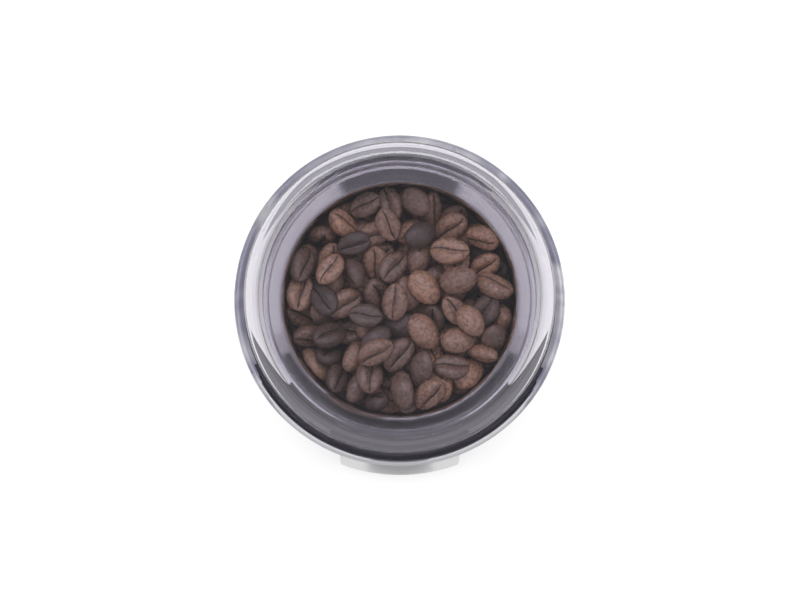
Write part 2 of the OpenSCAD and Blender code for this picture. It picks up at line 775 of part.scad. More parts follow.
module brush_holders() {
    room = brush_half + fit;
    color("peru") both_sides() difference() {
        block(holder_r, [-holder_half, holder_half], [z_brush - holder_half, z_brush + holder_half]);
        block([holder_r[0] - cut, holder_r[1] - holder_end_t], [-room, room],
            [z_brush - room, z_brush + room]);
    }
}
module carbon_brushes() {
    color([0.2, 0.2, 0.2]) both_sides() difference() {
        block([commutator_r - 1, brush_end], [-brush_half, brush_half],
            [z_brush - brush_half, z_brush + brush_half]);
        disc(commutator_r + fit, z_comm - cut, z_comm + commutator_h + cut);
    }
}
module brush_springs() {
    free_len = holder_r[1] - holder_end_t - brush_end - 2 * fit;
    color("silver") both_sides() translate([brush_end + fit, 0, z_brush]) rotate([0, 90, 0])
        spring(2.2, 0.25, 0, free_len, 5);
}

// ======== armature, turns ========
module motor_shaft() {
    color("silver") disc(shaft_r, z_low - bearing_over, z_dogs - 0.2);
}
module armature_core() {
    slot_at = 11;
    color("slategray") translate([0, 0, z_stack]) linear_extrude(stack_h) difference() {
        circle(armature_r);
        circle(shaft_r);
        for (i = [0:slots - 1]) rotate(i * 360 / slots) {
            translate([slot_at, 0]) circle(2.2, $fn = 24);
            translate([slot_at, -0.6]) square([armature_r, 1.2]);
        }
    }
}
module armature_winding() {
    in_r = shaft_r + 1;
    out_r = armature_r - 2.5;
    color("chocolate") {
        rotate_extrude() polygon([[in_r, z_stack_top], [out_r, z_stack_top], [out_r + 0.5, z_stack_top + 1.5],
            [out_r - 1, z_stack_top + turns_h], [in_r, z_stack_top + turns_h]]);
        rotate_extrude() polygon([[in_r, z_stack], [out_r, z_stack], [out_r - 0.5, z_stack - 2.2],
            [out_r - 3, z_stack - turns_below], [in_r, z_stack - turns_below]]);
    }
}
module commutator() {
    bar_cut = [commutator_r - 1, commutator_r + 1];
    color("orange") difference() {
        ring(commutator_r, shaft_r, z_comm, z_comm + commutator_h);
        for (i = [0:slots - 1]) rotate([0, 0, (i + 0.5) * 360 / slots])
            block(bar_cut, [-0.3, 0.3], [z_comm - cut, z_comm + commutator_h - 1.5]);
    }
}
module cooling_fan() {
    color("whitesmoke") {
        ring(shaft_r + 4, shaft_r, z_fan, z_fan + fan_h);
        ring(fan_r, shaft_r + 1, z_fan, z_fan + 1.4);
        for (i = [0:fan_blades - 1]) rotate([0, 0, 360 * i / fan_blades]) translate([6, 0, z_fan + 1])
            rotate([0, 0, 18]) cube([fan_r - 8, 1.2, fan_h - 1]);
    }
}
// What is cut from a ring to leave its dogs
module dog_gaps(z0, z1, turn) {
    step = 360 / dogs;
    for (i = [0:dogs - 1]) rotate([0, 0, turn + i * step + dog_angle / 2])
        rotate_extrude(angle = step - dog_angle)
            translate([dog_in - cut, z0]) square([coupling_r - dog_in + 2 * cut, z1 - z0]);
}
module drive_coupler() {
    z_top = z_dogs + dog_h;
    color("ivory") difference() {
        disc(coupling_r, z_drive, z_top);
        dog_gaps(z_dogs, z_top + cut, 0);
        disc(dog_in, z_dogs, z_top + cut);
        disc(shaft_r, z_drive - cut, z_dogs - 0.2);
    }
}

// ======== bowl, lifts out ========
// Half section of the cup: floor, corner, wall, then a lip that opens like a trumpet to its bead
module bowl_cup() {
    corner = 6;
    corner_c = [bowl_r - corner, z_cup_in + corner];
    lip_end = [lip_r - bead_r, z_bead];
    bend = [bowl_r + 0.5, z_lip + lip_h * 0.4];
    slope = atan((lip_end.x - bend.x) / (lip_end.y - bend.y)); // from upright, at the bead
    steps = 5;
    lip = [for (i = [0:steps - 1]) let (t = i / steps)
        pow(1 - t, 2) * [bowl_r, z_lip] + 2 * t * (1 - t) * bend + t * t * lip_end];
    lip_out = [for (i = [0:steps - 1]) let (a = slope * i / steps) lip[i] + bowl_t * [cos(a), -sin(a)]];
    bead = [for (a = [-110:29:180]) [lip_r, z_bead] + bead_r * [cos(a), sin(a)]];
    turn_out = [for (a = [-90:10:0]) corner_c + (corner + bowl_t) * [cos(a), sin(a)]];
    turn_in = [for (a = [0:-10:-90]) corner_c + corner * [cos(a), sin(a)]];
    color([0.75, 0.75, 0.76]) rotate_extrude() polygon(concat([[hub_shank_r, z_cup]], turn_out, lip_out, bead,
        [for (i = [steps - 1:-1:0]) lip[i]], turn_in, [[hub_shank_r, z_cup_in]]));
}
module bowl_base() {
    z_foot = z_floor + gap;
    z_ring_top = z_foot + ring_h;
    color([0.12, 0.12, 0.13]) difference() {
        union() {
            ring(ring_out_r, ring_in_r, z_foot, z_ring_top);
            ring(ring_in_r + 0.2, ring_in_r - 2, z_foot, z_web + 0.5);
            disc(ring_in_r + 0.2, z_web, z_cup);
            at_bowl_keys() block([ring_out_r - 0.5, key_out], [-key_half, key_half],
                [z_foot + 3.2, z_ring_top - 2]);
        }
        disc(hub_shank_r, z_web - cut, z_cup + cut);
    }
}
module bowl_hub() {
    z_top = z_cup_in + hub_h;
    color([0.7, 0.7, 0.72]) difference() {
        union() {
            disc(hub_shank_r, z_nut, z_cup_in);
            rotate_extrude() polygon([[0, z_cup_in], [coupling_r, z_cup_in], [coupling_r, z_cup_in + 1.3],
                [hub_top_r, z_cup_in + 3.2], [hub_top_r, z_top], [0, z_top]]);
        }
        disc(bush_r, z_nut - cut, z_top + cut);
    }
}
module hub_nut() {
    color("silver") hex_nut(20, hub_shank_r, z_nut, z_web);
}
module bowl_bush() {
    color("darkgoldenrod") ring(bush_r, shaft_r + running, z_nut + 0.6, z_cup_in + hub_h);
}
module spindle_seal() {
    color("darkred") ring(5.4, shaft_r + fit, z_cup_in + hub_h, z_blade - slip);
}

// ======== blade, turns in the bowl ========
// Side view of one wing whose tip is bent by bend degrees
function wing_side(bend) =
    let (tip = [fold + tip_len * cos(bend), tip_len * sin(bend)], up = blade_t * [-sin(bend), cos(bend)])
    [[0, 0], [fold, 0], tip, tip + up, [fold - blade_t * tan(bend / 2), blade_t], [0, blade_t]];
module wing(bend) {
    root = blade_w / 2;
    tip = blade_w * 0.36; // half width from the fold outwards
    reach = blade_r + 1;
    intersection() {
        translate([0, blade_w, z_blade]) rotate([90, 0, 0]) linear_extrude(2 * blade_w)
            polygon(wing_side(bend));
        translate([0, 0, z_blade - tip_len]) linear_extrude(2 * tip_len)
            polygon([[0, -root], [fold, -tip], [reach - 4, -tip], [reach, 3.5 - tip],
                [reach, tip - 1], [reach - 2, tip], [fold, tip], [0, root]]);
    }
}
module blade() {
    color([0.72, 0.72, 0.74]) difference() {
        union() {
            disc(blade_w / 2 + 1.5, z_blade, z_blade + blade_t);
            wing(tip_up);
            rotate([0, 0, 180]) wing(-tip_down);
        }
        disc(shaft_r, z_blade - cut, z_blade + blade_t + cut);
    }
}
module blade_spindle() {
    color("silver") disc(shaft_r, z_driven, z_washer + washer_t + blade_nut_h - nut_skin);
}
module blade_washer() {
    color("silver") ring(5.5, shaft_r, z_washer, z_washer + washer_t);
}
module blade_nut() {
    z0 = z_washer + washer_t;
    z_dome = z0 + blade_nut_h - dome_h;
    color([0.7, 0.7, 0.72]) difference() {
        union() {
            translate([0, 0, z0]) cylinder(r = 8.6 / sqrt(3), h = blade_nut_h - dome_h, $fn = 6);
            translate([0, 0, z_dome]) cylinder(r1 = 4.2, r2 = 2.4, h = dome_h);
        }
        disc(shaft_r, z0 - cut, z0 + blade_nut_h - nut_skin);
    }
}
module driven_coupler() {
    z_low_end = z_driven - dog_h;
    color("ivory") difference() {
        disc(coupling_r, z_low_end, z_driven + driven_h);
        dog_gaps(z_low_end - cut, z_driven, 180 / dogs);
        disc(dog_in, z_low_end - cut, z_driven);
        disc(shaft_r, z_driven - cut, z_driven + driven_h + cut);
    }
}
module spindle_clip() {
    color("gray") difference() {
        ring(4.3, shaft_r, z_nut + 0.05, z_nut + 0.45);
        block([0, 6], [-1.2, 1.2], [z_nut - cut, z_nut + cut]);
    }
}

// ======== lid ========
module lid_shell() {
    z_crown = z_lid_top - crown_r;
    flange_edge = 1.4;
    crown = [for (a = [0:15:90]) [recess_r + crown_r * cos(a), z_crown + crown_r * sin(a)]];
    skirt = [[skirt_in_r, z_skirt], [skirt_out_r, z_skirt], [skirt_out_r, z_flange - flange_edge],
        [skirt_out_r - 0.4, z_flange - 0.4], [skirt_out_r - flange_edge, z_flange],
        [lid_out_r + 1.2, z_flange], [lid_out_r + 0.3, z_flange + 0.4], [lid_out_r, z_flange + 1.2]];
    top = [[recess_r - 0.4, z_recess], [0, z_recess], [0, z_inner_top],
        [recess_r - 1.4, z_inner_top], [recess_r + 0.2, z_inner_top - 1.2]];
    ledge_r = lid_in_r - 1.6;
    z_bead_top = z_seal - 0.9;
    ledge = [[lid_in_r - 0.6, z_ledge + 3], [ledge_r, z_ledge + 2], [ledge_r, z_ledge], [lid_in_r, z_ledge]];
    bead = [[lid_in_r, z_bead_top], [lid_in_r - bead_h, z_bead_top - bead_h],
        [lid_in_r, z_bead_top - 2 * bead_h]];
    underside = [[lid_in_r, z_flange_under], [skirt_in_r, z_flange_under]];
    rotate_extrude() polygon(concat(skirt, crown, top, ledge, bead, underside));
}
module lid() {
    half = key_w / 2;
    color([0.3, 0.3, 0.34, 0.5]) {
        lid_shell();
        at_key() difference() {
            block([key_in_r, skirt_in_r + 0.5], [-half, half], [z_key, z_flange_under + 0.5]);
            block([key_in_r + key_t, skirt_in_r - 1], [-half + key_t, half - key_t],
                [z_key + key_t, z_flange_under]);
        }
    }
}
module lid_seal() {
    z_top = z_seal + seal_h;
    color([0.6, 0.6, 0.62]) rotate_extrude() polygon([[lip_r - 0.6, z_seal], [seal_out_r, z_seal],
        [seal_out_r, z_top - 0.4], [seal_out_r - 0.4, z_top], [seal_in_r + 0.3, z_top],
        [seal_in_r, z_top - 1], [lip_r - 1.4, z_seal + 1]]);
}

// ======== interlock: rod, spring and switch ========
module interlock_plunger() {
    z_foot_top = z_rod_foot + rod_foot_h;
    color("orangered") at_key() {
        block([slot_in_r + gap, spigot_r - 1 - slip], [-head_half, head_half], [z_head, z_head + head_h]);
        translate([pin_at, 0, 0]) {
            disc(pin_r, z_foot_top - eps, z_head + eps);
            disc(spring_r + spring_wire, z_collet, z_collet + collet_t);
        }
        block([switch_low.x + 1.5, pin_at + pin_r], [-foot_half, foot_half], [z_rod_foot, z_foot_top]);
    }
}
module plunger_spring() {
    seat = 0.05; // clearance at each end of the spring
    color("silver") at_key() translate([pin_at, 0, 0])
        spring(spring_r, spring_wire, z_floor + seat, z_collet - z_floor - 2 * seat, 8);
}
module microswitch() {
    terminal_h = 4;
    color([0.15, 0.15, 0.2]) at_key() difference() {
        union() {
            block([switch_low.x, switch_high.x], [switch_low.y, switch_high.y], [z_switch_low, z_switch]);
            for (x = [switch_low.x, switch_high.x - ear_t])
                block([x, x + ear_t], [hinge_y - 1, hinge_y + 1], [z_switch - eps, z_hinge + 0.8]);
            translate([switch_low.x + eps, hinge_y, z_hinge]) rotate([0, 90, 0])
                cylinder(r = hinge_pin_r, h = switch_size.x - 2 * eps);
            for (y = [switch_low.y + 3, switch_high.y - 3]) block([switch_high.x - 4, switch_high.x - 1],
                [y - 0.4, y + 0.4], [z_switch_low - terminal_h, z_switch_low + 1]);
        }
        at_switch_screws() disc(switch_screw_r, -cut, switch_size.x + cut);
        translate([switch_mid_x, button_y, 0])
            disc(button_r + fit, z_switch - button_in - 1.2, z_switch + cut);
    }
}
module switch_lever() {
    x0 = switch_low.x + ear_t + fit;
    w = switch_size.x - 2 * (ear_t + fit);
    color("silver") at_key() translate([x0, hinge_y, z_hinge]) rotate([lever_angle, 0, 0]) difference() {
        union() {
            translate([0, 0, -lever_t / 2]) cube([w, lever_len, lever_t]);
            rotate([0, 90, 0]) cylinder(r = lever_eye_r, h = w);
        }
        translate([-cut, 0, 0]) rotate([0, 90, 0]) cylinder(r = hinge_pin_r + 0.05, h = w + 2 * cut);
    }
}
module switch_button() {
    color("red") at_key() translate([switch_mid_x, button_y, 0])
        disc(button_r, z_switch - button_in, z_button);
}
module switch_screws() {
    head_h = 1.3;
    color("silver") at_key() at_switch_screws()
        screw(switch_screw_r, [-fit, switch_size.x + hanger_t], [-head_h, 0], 1.9);
}

// ======== electrics ========
module circuit_board() {
    color("darkgreen") translate([board_x, -board_half, z_board]) cube([board_t, 2 * board_half, board_h]);
}
module capacitor() {
    color("gold") translate([board_x + board_t, -capacitor_size.y / 2, z_board + 4]) cube(capacitor_size);
}
module thermal_fuse() {
    at = fuse_r + eps;
    color("lightgray") translate([-fuse_len / 2, coil_y[1] + at, z_stack_top + at])
        rotate([0, 90, 0]) cylinder(r = fuse_r, h = fuse_len);
}

feet();
base_cover();
base_screws();
housing();
front_panel();
panel_studs();
panel_nuts();
cord_gland();
cord_clamp();
cord_clamp_screws();
collar();
deck_screws();
shaft_seal();
motor_top_bracket();
motor_bottom_bracket();
motor_bolts();
motor_bolt_nuts();
motor_dampers();
motor_mount_screws();
stator_core();
field_coils();
upper_bearing();
lower_bearing();
brush_holders();
carbon_brushes();
brush_springs();
motor_shaft();
armature_core();
armature_winding();
commutator();
cooling_fan();
drive_coupler();
bowl_cup();
bowl_base();
bowl_hub();
hub_nut();
bowl_bush();
spindle_seal();
blade();
blade_spindle();
blade_washer();
blade_nut();
driven_coupler();
spindle_clip();
lid();
lid_seal();
interlock_plunger();
plunger_spring();
microswitch();
switch_lever();
switch_button();
switch_screws();
circuit_board();
capacitor();
thermal_fuse();
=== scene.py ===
import math
import random

import bmesh
import bpy
from mathutils import Euler, Matrix, Vector


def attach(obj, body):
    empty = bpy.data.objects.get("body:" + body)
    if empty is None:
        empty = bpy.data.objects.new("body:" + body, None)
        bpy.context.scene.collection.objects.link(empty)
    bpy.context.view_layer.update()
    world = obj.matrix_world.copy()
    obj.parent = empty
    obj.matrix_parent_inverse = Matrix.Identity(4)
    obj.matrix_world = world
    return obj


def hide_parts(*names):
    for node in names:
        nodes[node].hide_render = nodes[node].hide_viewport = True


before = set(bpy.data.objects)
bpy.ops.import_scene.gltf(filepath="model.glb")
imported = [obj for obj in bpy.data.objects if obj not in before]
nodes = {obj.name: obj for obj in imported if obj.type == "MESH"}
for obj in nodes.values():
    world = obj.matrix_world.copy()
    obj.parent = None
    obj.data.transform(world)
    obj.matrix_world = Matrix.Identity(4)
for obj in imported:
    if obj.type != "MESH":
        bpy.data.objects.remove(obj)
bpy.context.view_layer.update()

bpy.context.scene.view_settings.view_transform = "Standard"

# ======== studio ========
# A white table seen from almost straight above, a softbox at each side and one above
# behind. Black and grey cards, seen only in what shiny surfaces mirror, draw the lines
# in the clear lid and the polished steel. None of it belongs to the grinder.
TABLE_GLOW = 0.55  # strength of the table's own light, which keeps it white
SKY_LIGHT, SKY_SEEN = 0.4, 1.0  # strength of the sky as a lamp, and where it is looked at
CARD_BLUE = 1.05  # how much more blue than red a card has
LENS, CAMERA_FAR, CAMERA_TILT = 122.1, 0.8, 1.25  # mm, m and degrees
VIEW_TARGET = (0.00012, 0.0001, 0.146)


def add(tree, kind, inputs=None, **settings):
    """A shader node with its settings, and its inputs set or linked by name."""
    made = tree.nodes.new(kind)
    for name, value in settings.items():
        setattr(made, name, value)
    for name, value in (inputs or {}).items():
        if isinstance(value, bpy.types.NodeSocket):
            tree.links.new(value, made.inputs[name])
        else:
            made.inputs[name].default_value = value
    return made


def math_node(tree, operation, a, b, clamp=False):
    return add(tree, "ShaderNodeMath", {0: a, 1: b}, operation=operation, use_clamp=clamp).outputs[0]


def looked_at(tree):
    """1 for rays from the camera, through clear plastic or off shiny surfaces, else 0."""
    rays = add(tree, "ShaderNodeLightPath").outputs
    straight = math_node(tree, "MAXIMUM", rays["Is Camera Ray"], rays["Is Transmission Ray"])
    return math_node(tree, "MAXIMUM", straight, rays["Is Glossy Ray"])


def new_mesh(name, bm, smooth_below=None):
    """The object of a finished bmesh; edges sharper than smooth_below degrees stay sharp."""
    if smooth_below is not None:
        for face in bm.faces:
            face.smooth = True
        for edge in bm.edges:
            edge.smooth = edge.calc_face_angle(0) < math.radians(smooth_below)
    mesh = bpy.data.meshes.new(name)
    bm.to_mesh(mesh)
    bm.free()
    made = bpy.data.objects.new(name, mesh)
    bpy.context.scene.collection.objects.link(made)
    return made


def aim(thing, target):
    """Turns a lamp or the camera at a point."""
    thing.rotation_euler = (Vector(target) - thing.location).to_track_quat("-Z", "Y").to_euler()


table_white = bpy.data.materials.new("table_white")
table_white.use_nodes = True
tree = table_white.node_tree
shader = tree.nodes["Principled BSDF"]
shader.inputs["Roughness"].default_value = 0.9
shader.inputs["Specular IOR Level"].default_value = 0.0
shader.inputs["Base Color"].default_value = (0.86, 0.86, 0.87, 1)
shader.inputs["Emission Color"].default_value = (1, 1, 1, 1)
tree.links.new(math_node(tree, "MULTIPLY", looked_at(tree), TABLE_GLOW), shader.inputs["Emission Strength"])

bm = bmesh.new()
bmesh.ops.create_grid(bm, x_segments=1, y_segments=1, size=4)
table = new_mesh("table_top", bm)
table.data.materials.append(table_white)

world = bpy.data.worlds.new("studio")
bpy.context.scene.world = world
world.use_nodes = True
sky = world.node_tree
level = add(sky, "ShaderNodeMapRange", {"Value": looked_at(sky), "To Min": SKY_LIGHT, "To Max": SKY_SEEN})
sky.nodes["Background"].inputs["Color"].default_value = (1, 1, 1, 1)
sky.links.new(level.outputs["Result"], sky.nodes["Background"].inputs["Strength"])


def softbox(name, place, target, size, power):
    """A rectangular lamp that the camera doesn't see; size in m, power in watts."""
    lamp = bpy.data.lights.new(name, "AREA")
    lamp.shape = "RECTANGLE"
    lamp.size, lamp.size_y = size
    lamp.energy = power
    made = bpy.data.objects.new(name, lamp)
    made.location = place
    aim(made, target)
    made.visible_camera = False
    bpy.context.scene.collection.objects.link(made)


softbox("softbox_left", (-0.95, -0.7, 0.55), (0, -0.7, 0.3), (2.0, 0.9), 3.6)
softbox("softbox_right", (0.95, -0.7, 0.55), (0, -0.7, 0.3), (2.0, 0.9), 3.6)
softbox("softbox_back", (0, 0.55, 1.4), (0, 0, 0.15), (1.0, 0.4), 8)


def card(name, level):
    """A card of a given grey that shows only in what shiny surfaces mirror."""
    made = bpy.data.materials.new(name)
    made.use_nodes = True
    tree = made.node_tree
    tree.nodes.remove(tree.nodes["Principled BSDF"])
    bounces = add(tree, "ShaderNodeLightPath").outputs["Glossy Depth"]
    mirrored = math_node(tree, "GREATER_THAN", bounces, 0.5)
    grey = add(tree, "ShaderNodeEmission", {"Color": (level, level, level * CARD_BLUE, 1)})
    unseen = add(tree, "ShaderNodeBsdfTransparent")
    shown = add(tree, "ShaderNodeMixShader", {0: mirrored, 1: unseen.outputs["BSDF"],
                                              2: grey.outputs["Emission"]})
    tree.links.new(shown.outputs["Shader"], tree.nodes["Material Output"].inputs["Surface"])
    return made


card_black = card("card_black", 0.02)
card_dark = card("card_dark", 0.24)
card_grey = card("card_grey", 0.32)
card_pale = card("card_pale", 0.58)


def flag(name, place, size, flat=False, finish=card_black):
    """A card, on edge or lying flat, that gives polished surfaces something dark to mirror."""
    bm = bmesh.new()
    bmesh.ops.create_grid(bm, x_segments=1, y_segments=1, size=0.5)
    bmesh.ops.scale(bm, vec=(size[0], size[1], 1), verts=bm.verts)
    if not flat:
        upright = Matrix.Rotation(math.radians(90), 3, "X")
        bmesh.ops.rotate(bm, cent=(0, 0, 0), matrix=upright, verts=bm.verts)
    bmesh.ops.translate(bm, vec=place, verts=bm.verts)
    made = new_mesh(name, bm)
    made.data.materials.append(finish)
    made.visible_camera = made.visible_shadow = made.visible_diffuse = False


flag("flag_back", (0, 0.9, 0.375), (3.6, 0.75))
flag("flag_front", (0, -0.9, 0.45), (0.95, 0.9), finish=card_grey)
flag("flag_above", (0, 0, 1.6), (0.9, 0.9), flat=True, finish=card_grey)
flag("flag_table", (0, -0.3, 0.003), (0.6, 0.45), flat=True, finish=card_dark)
flag("flag_left", (-0.17, -0.066, 0.003), (0.24, 0.02), flat=True, finish=card_dark)
flag("flag_right", (0.17, -0.066, 0.003), (0.24, 0.02), flat=True, finish=card_dark)
flag("flag_behind", (0, 0.14, 0.003), (0.32, 0.14), flat=True, finish=card_pale)
flag("flag_toe", (0, -0.081, 0.002), (0.026, 0.038), flat=True, finish=card_grey)

camera_data = bpy.data.cameras.new("camera")
camera_data.sensor_width = 36
camera_data.lens = LENS
camera = bpy.data.objects.new("camera", camera_data)
bpy.context.scene.collection.objects.link(camera)
tilt = math.radians(CAMERA_TILT)
camera.location = Vector(VIEW_TARGET) + CAMERA_FAR * Vector((0, -math.sin(tilt), math.cos(tilt)))
camera.rotation_euler = Euler((tilt, 0, 0))
bpy.context.scene.camera = camera

# ======== feet and base pan ========
# Four soft rubber feet pressed through a black moulded pan that closes the body from
# below. The pan carries the circuit board's rails and the cord's saddle, and is held
# by four screws.


def effect(name, inputs, outputs):
    """An empty node group with these sockets, and its input and output nodes."""
    kinds = {"COLOR": "NodeSocketColor", "VALUE": "NodeSocketFloat", "VECTOR": "NodeSocketVector"}
    group = bpy.data.node_groups.new(name, "ShaderNodeTree")
    for socket, (kind, value) in inputs.items():
        made = group.interface.new_socket(socket, in_out="INPUT", socket_type=kinds[kind])
        made.default_value = value
    for socket, kind in outputs.items():
        group.interface.new_socket(socket, in_out="OUTPUT", socket_type=kinds[kind])
    return group, add(group, "NodeGroupInput"), add(group, "NodeGroupOutput")


def blended(tree, share, a, b):
    """Two colours mixed by share."""
    made = tree.nodes.new("ShaderNodeMix")
    made.data_type = "RGBA"
    for socket, value in ((made.inputs[0], share), (made.inputs[6], a), (made.inputs[7], b)):
        if isinstance(value, bpy.types.NodeSocket):
            tree.links.new(value, socket)
        else:
            socket.default_value = value
    return made.outputs[2]


def centred(tree, noise, middle, spread):
    """Middle plus or minus spread, by a noise of about 0.3 to 0.7."""
    swing = math_node(tree, "MULTIPLY_ADD", noise, 2.5)
    swing.node.inputs[2].default_value = -1.25
    return math_node(tree, "ADD", math_node(tree, "MULTIPLY", swing, spread), middle, clamp=True)


# Moulded surfaces: fine grain, cloudy gloss, and corners rubbed a little paler
moulded, took, gave = effect(
    "moulded_surface",
    {"Base": ("COLOR", (0.03, 0.03, 0.03, 1)), "Rubbed": ("COLOR", (0.2, 0.2, 0.2, 1)),
     "Shade": ("VALUE", 0.2), "Roughness": ("VALUE", 0.5), "Spread": ("VALUE", 0.06),
     "Grain": ("VALUE", 2500.0), "Depth": ("VALUE", 0.02), "Wear": ("VALUE", 0.5)},
    {"Color": "COLOR", "Roughness": "VALUE", "Normal": "VECTOR"})
place = add(moulded, "ShaderNodeTexCoord").outputs["Object"]
cloud = add(moulded, "ShaderNodeTexNoise", {"Vector": place, "Scale": 55.0, "Detail": 4.0}).outputs["Fac"]
grain = add(moulded, "ShaderNodeTexNoise", {"Vector": place, "Scale": took.outputs["Grain"], "Detail": 2.0})
corner = add(moulded, "ShaderNodeNewGeometry").outputs["Pointiness"]
edge = add(moulded, "ShaderNodeMapRange", {"Value": corner, "From Min": 0.51, "From Max": 0.6})
edge = math_node(moulded, "MULTIPLY", edge.outputs["Result"], cloud)
edge = math_node(moulded, "MULTIPLY", edge, took.outputs["Wear"], clamp=True)
shade = math_node(moulded, "MULTIPLY", cloud, took.outputs["Shade"])
shaded = blended(moulded, shade, took.outputs["Base"], took.outputs["Rubbed"])
moulded.links.new(blended(moulded, edge, shaded, took.outputs["Rubbed"]), gave.inputs["Color"])
gloss = centred(moulded, cloud, took.outputs["Roughness"], took.outputs["Spread"])
moulded.links.new(gloss, gave.inputs["Roughness"])
grained = add(moulded, "ShaderNodeBump", {"Strength": took.outputs["Depth"], "Distance": 0.001,
                                          "Height": grain.outputs["Fac"]})
moulded.links.new(grained.outputs["Normal"], gave.inputs["Normal"])


def new_finish(name, group, values, metallic=0.0, **sockets):
    """A Principled material whose colour, roughness and normal come from a group."""
    made = bpy.data.materials.new(name)
    made.use_nodes = True
    tree = made.node_tree
    shader = tree.nodes["Principled BSDF"]
    shader.inputs["Metallic"].default_value = metallic
    for socket, value in sockets.items():
        shader.inputs[socket.replace("_", " ")].default_value = value
    source = add(tree, "ShaderNodeGroup", node_tree=group)
    for socket, value in values.items():
        source.inputs[socket].default_value = value
    for ours, theirs in (("Color", "Base Color"), ("Roughness", "Roughness"), ("Normal", "Normal")):
        if ours in source.outputs:
            tree.links.new(source.outputs[ours], shader.inputs[theirs])
    return made


def moulding(name, base, roughness, grain=2500.0, depth=0.02, wear=0.4, shade=0.12, spread=0.06, **sockets):
    """A moulded or cast finish whose corners are rubbed paler than its base colour."""
    rubbed = [min(1.0, c * 1.6 + 0.03) for c in base] + [1]
    values = {"Base": [*base, 1], "Rubbed": rubbed, "Shade": shade, "Roughness": roughness,
              "Spread": spread, "Grain": grain, "Depth": depth, "Wear": wear}
    return new_finish(name, moulded, values, **sockets)


def finish_nodes(material, *names):
    """Puts a material on CAD nodes."""
    for name in names:
        slots = nodes[name].data.materials
        slots.clear()
        slots.append(material)


foot_rubber = moulding("foot_rubber", (0.045, 0.045, 0.048), 0.78, grain=1400, depth=0.05, wear=0.6)
body_plastic = moulding("black_plastic", (0.022, 0.022, 0.026), 0.4, grain=2600, depth=0.03)
finish_nodes(foot_rubber, "feet")
finish_nodes(body_plastic, "base_cover")

# Brushed and drawn metal: long fine lines along one direction, faint stains between them
brushed, took, gave = effect(
    "brushed_metal",
    {"Base": ("COLOR", (0.7, 0.7, 0.7, 1)), "Dark": ("COLOR", (0.5, 0.5, 0.5, 1)),
     "Lines": ("VECTOR", (900, 900, 12)), "Roughness": ("VALUE", 0.3), "Spread": ("VALUE", 0.08),
     "Depth": ("VALUE", 0.05)},
    {"Color": "COLOR", "Roughness": "VALUE", "Normal": "VECTOR"})
place = add(brushed, "ShaderNodeTexCoord").outputs["Object"]
drawn = add(brushed, "ShaderNodeVectorMath", {0: place, 1: took.outputs["Lines"]}, operation="MULTIPLY")
lines = add(brushed, "ShaderNodeTexNoise", {"Vector": drawn.outputs["Vector"], "Scale": 1.0, "Detail": 3.0,
                                            "Roughness": 0.65}).outputs["Fac"]
stain = add(brushed, "ShaderNodeTexNoise", {"Vector": place, "Scale": 70.0, "Detail": 3.0}).outputs["Fac"]
both = math_node(brushed, "MULTIPLY", math_node(brushed, "ADD", lines, stain), 0.5)
brushed.links.new(blended(brushed, both, took.outputs["Dark"], took.outputs["Base"]), gave.inputs["Color"])
gloss = centred(brushed, both, took.outputs["Roughness"], took.outputs["Spread"])
brushed.links.new(gloss, gave.inputs["Roughness"])
scored = add(brushed, "ShaderNodeBump", {"Strength": took.outputs["Depth"], "Distance": 0.0005,
                                         "Height": lines})
brushed.links.new(scored.outputs["Normal"], gave.inputs["Normal"])


def drawn_metal(name, base, roughness, lines=(900, 900, 12), depth=0.05, spread=0.08, **sockets):
    """A brushed or drawn metal; lines are the noise's scales along X, Y and Z."""
    dark = [c * 0.82 for c in base]
    values = {"Base": [*base, 1], "Dark": [*dark, 1], "Lines": lines, "Roughness": roughness,
              "Spread": spread, "Depth": depth}
    return new_finish(name, brushed, values, metallic=1.0, **sockets)


zinc_plate = drawn_metal("plated_steel", (0.68, 0.69, 0.71), 0.28, lines=(300, 300, 300), depth=0.03)
finish_nodes(zinc_plate, "base_screws")

# ======== housing ========
# One waisted shell in fine-grained black plastic, with bosses for the screws inside.
# The cord enters at the back through a rubber gland and is held by a nylon clamp.
finish_nodes(body_plastic, "housing")
finish_nodes(moulding("gland_rubber", (0.04, 0.04, 0.042), 0.7, grain=1500, depth=0.05), "cord_gland")
finish_nodes(moulding("clamp_plastic", (0.62, 0.59, 0.52), 0.45, grain=1200, depth=0.02), "cord_clamp")
finish_nodes(zinc_plate, "cord_clamp_screws")

# ======== front panel ========
# A sheet of stainless steel, rolled to the body's curve and swept out into the toe,
# brushed along its height. Two welded studs and nuts hold it from inside.
panel_steel = drawn_metal("panel_steel", (0.74, 0.735, 0.74), 0.34, lines=(1500, 40, 10), depth=0.08,
                          spread=0.1)
finish_nodes(panel_steel, "front_panel")
finish_nodes(zinc_plate, "panel_studs", "panel_nuts")

# ======== motor ========
# A small mains motor: laminated stack and coils between two cast brackets, held by
# through bolts and hung on rubber mounts; armature with copper commutator, brushes in
# brass holders, and a plastic fan between the stack and the upper bracket.
cast_metal = moulding("bracket_metal", (0.6, 0.61, 0.63), 0.5, grain=900, depth=0.06, shade=0.25,
                      metallic=1.0)
finish_nodes(cast_metal, "motor_top_bracket", "motor_bottom_bracket")
finish_nodes(zinc_plate, "motor_bolts", "motor_bolt_nuts", "motor_mount_screws")
finish_nodes(moulding("damper_rubber", (0.06, 0.06, 0.06), 0.8, grain=1300, depth=0.05), "motor_dampers")
laminations = drawn_metal("lamination_steel", (0.34, 0.35, 0.37), 0.42, lines=(20, 20, 1900), depth=0.35)
finish_nodes(laminations, "stator_core", "armature_core")
copper_wire = drawn_metal("copper_wire", (0.66, 0.27, 0.13), 0.3, lines=(25, 900, 900), depth=0.4,
                          spread=0.12)
finish_nodes(copper_wire, "field_coils", "armature_winding")
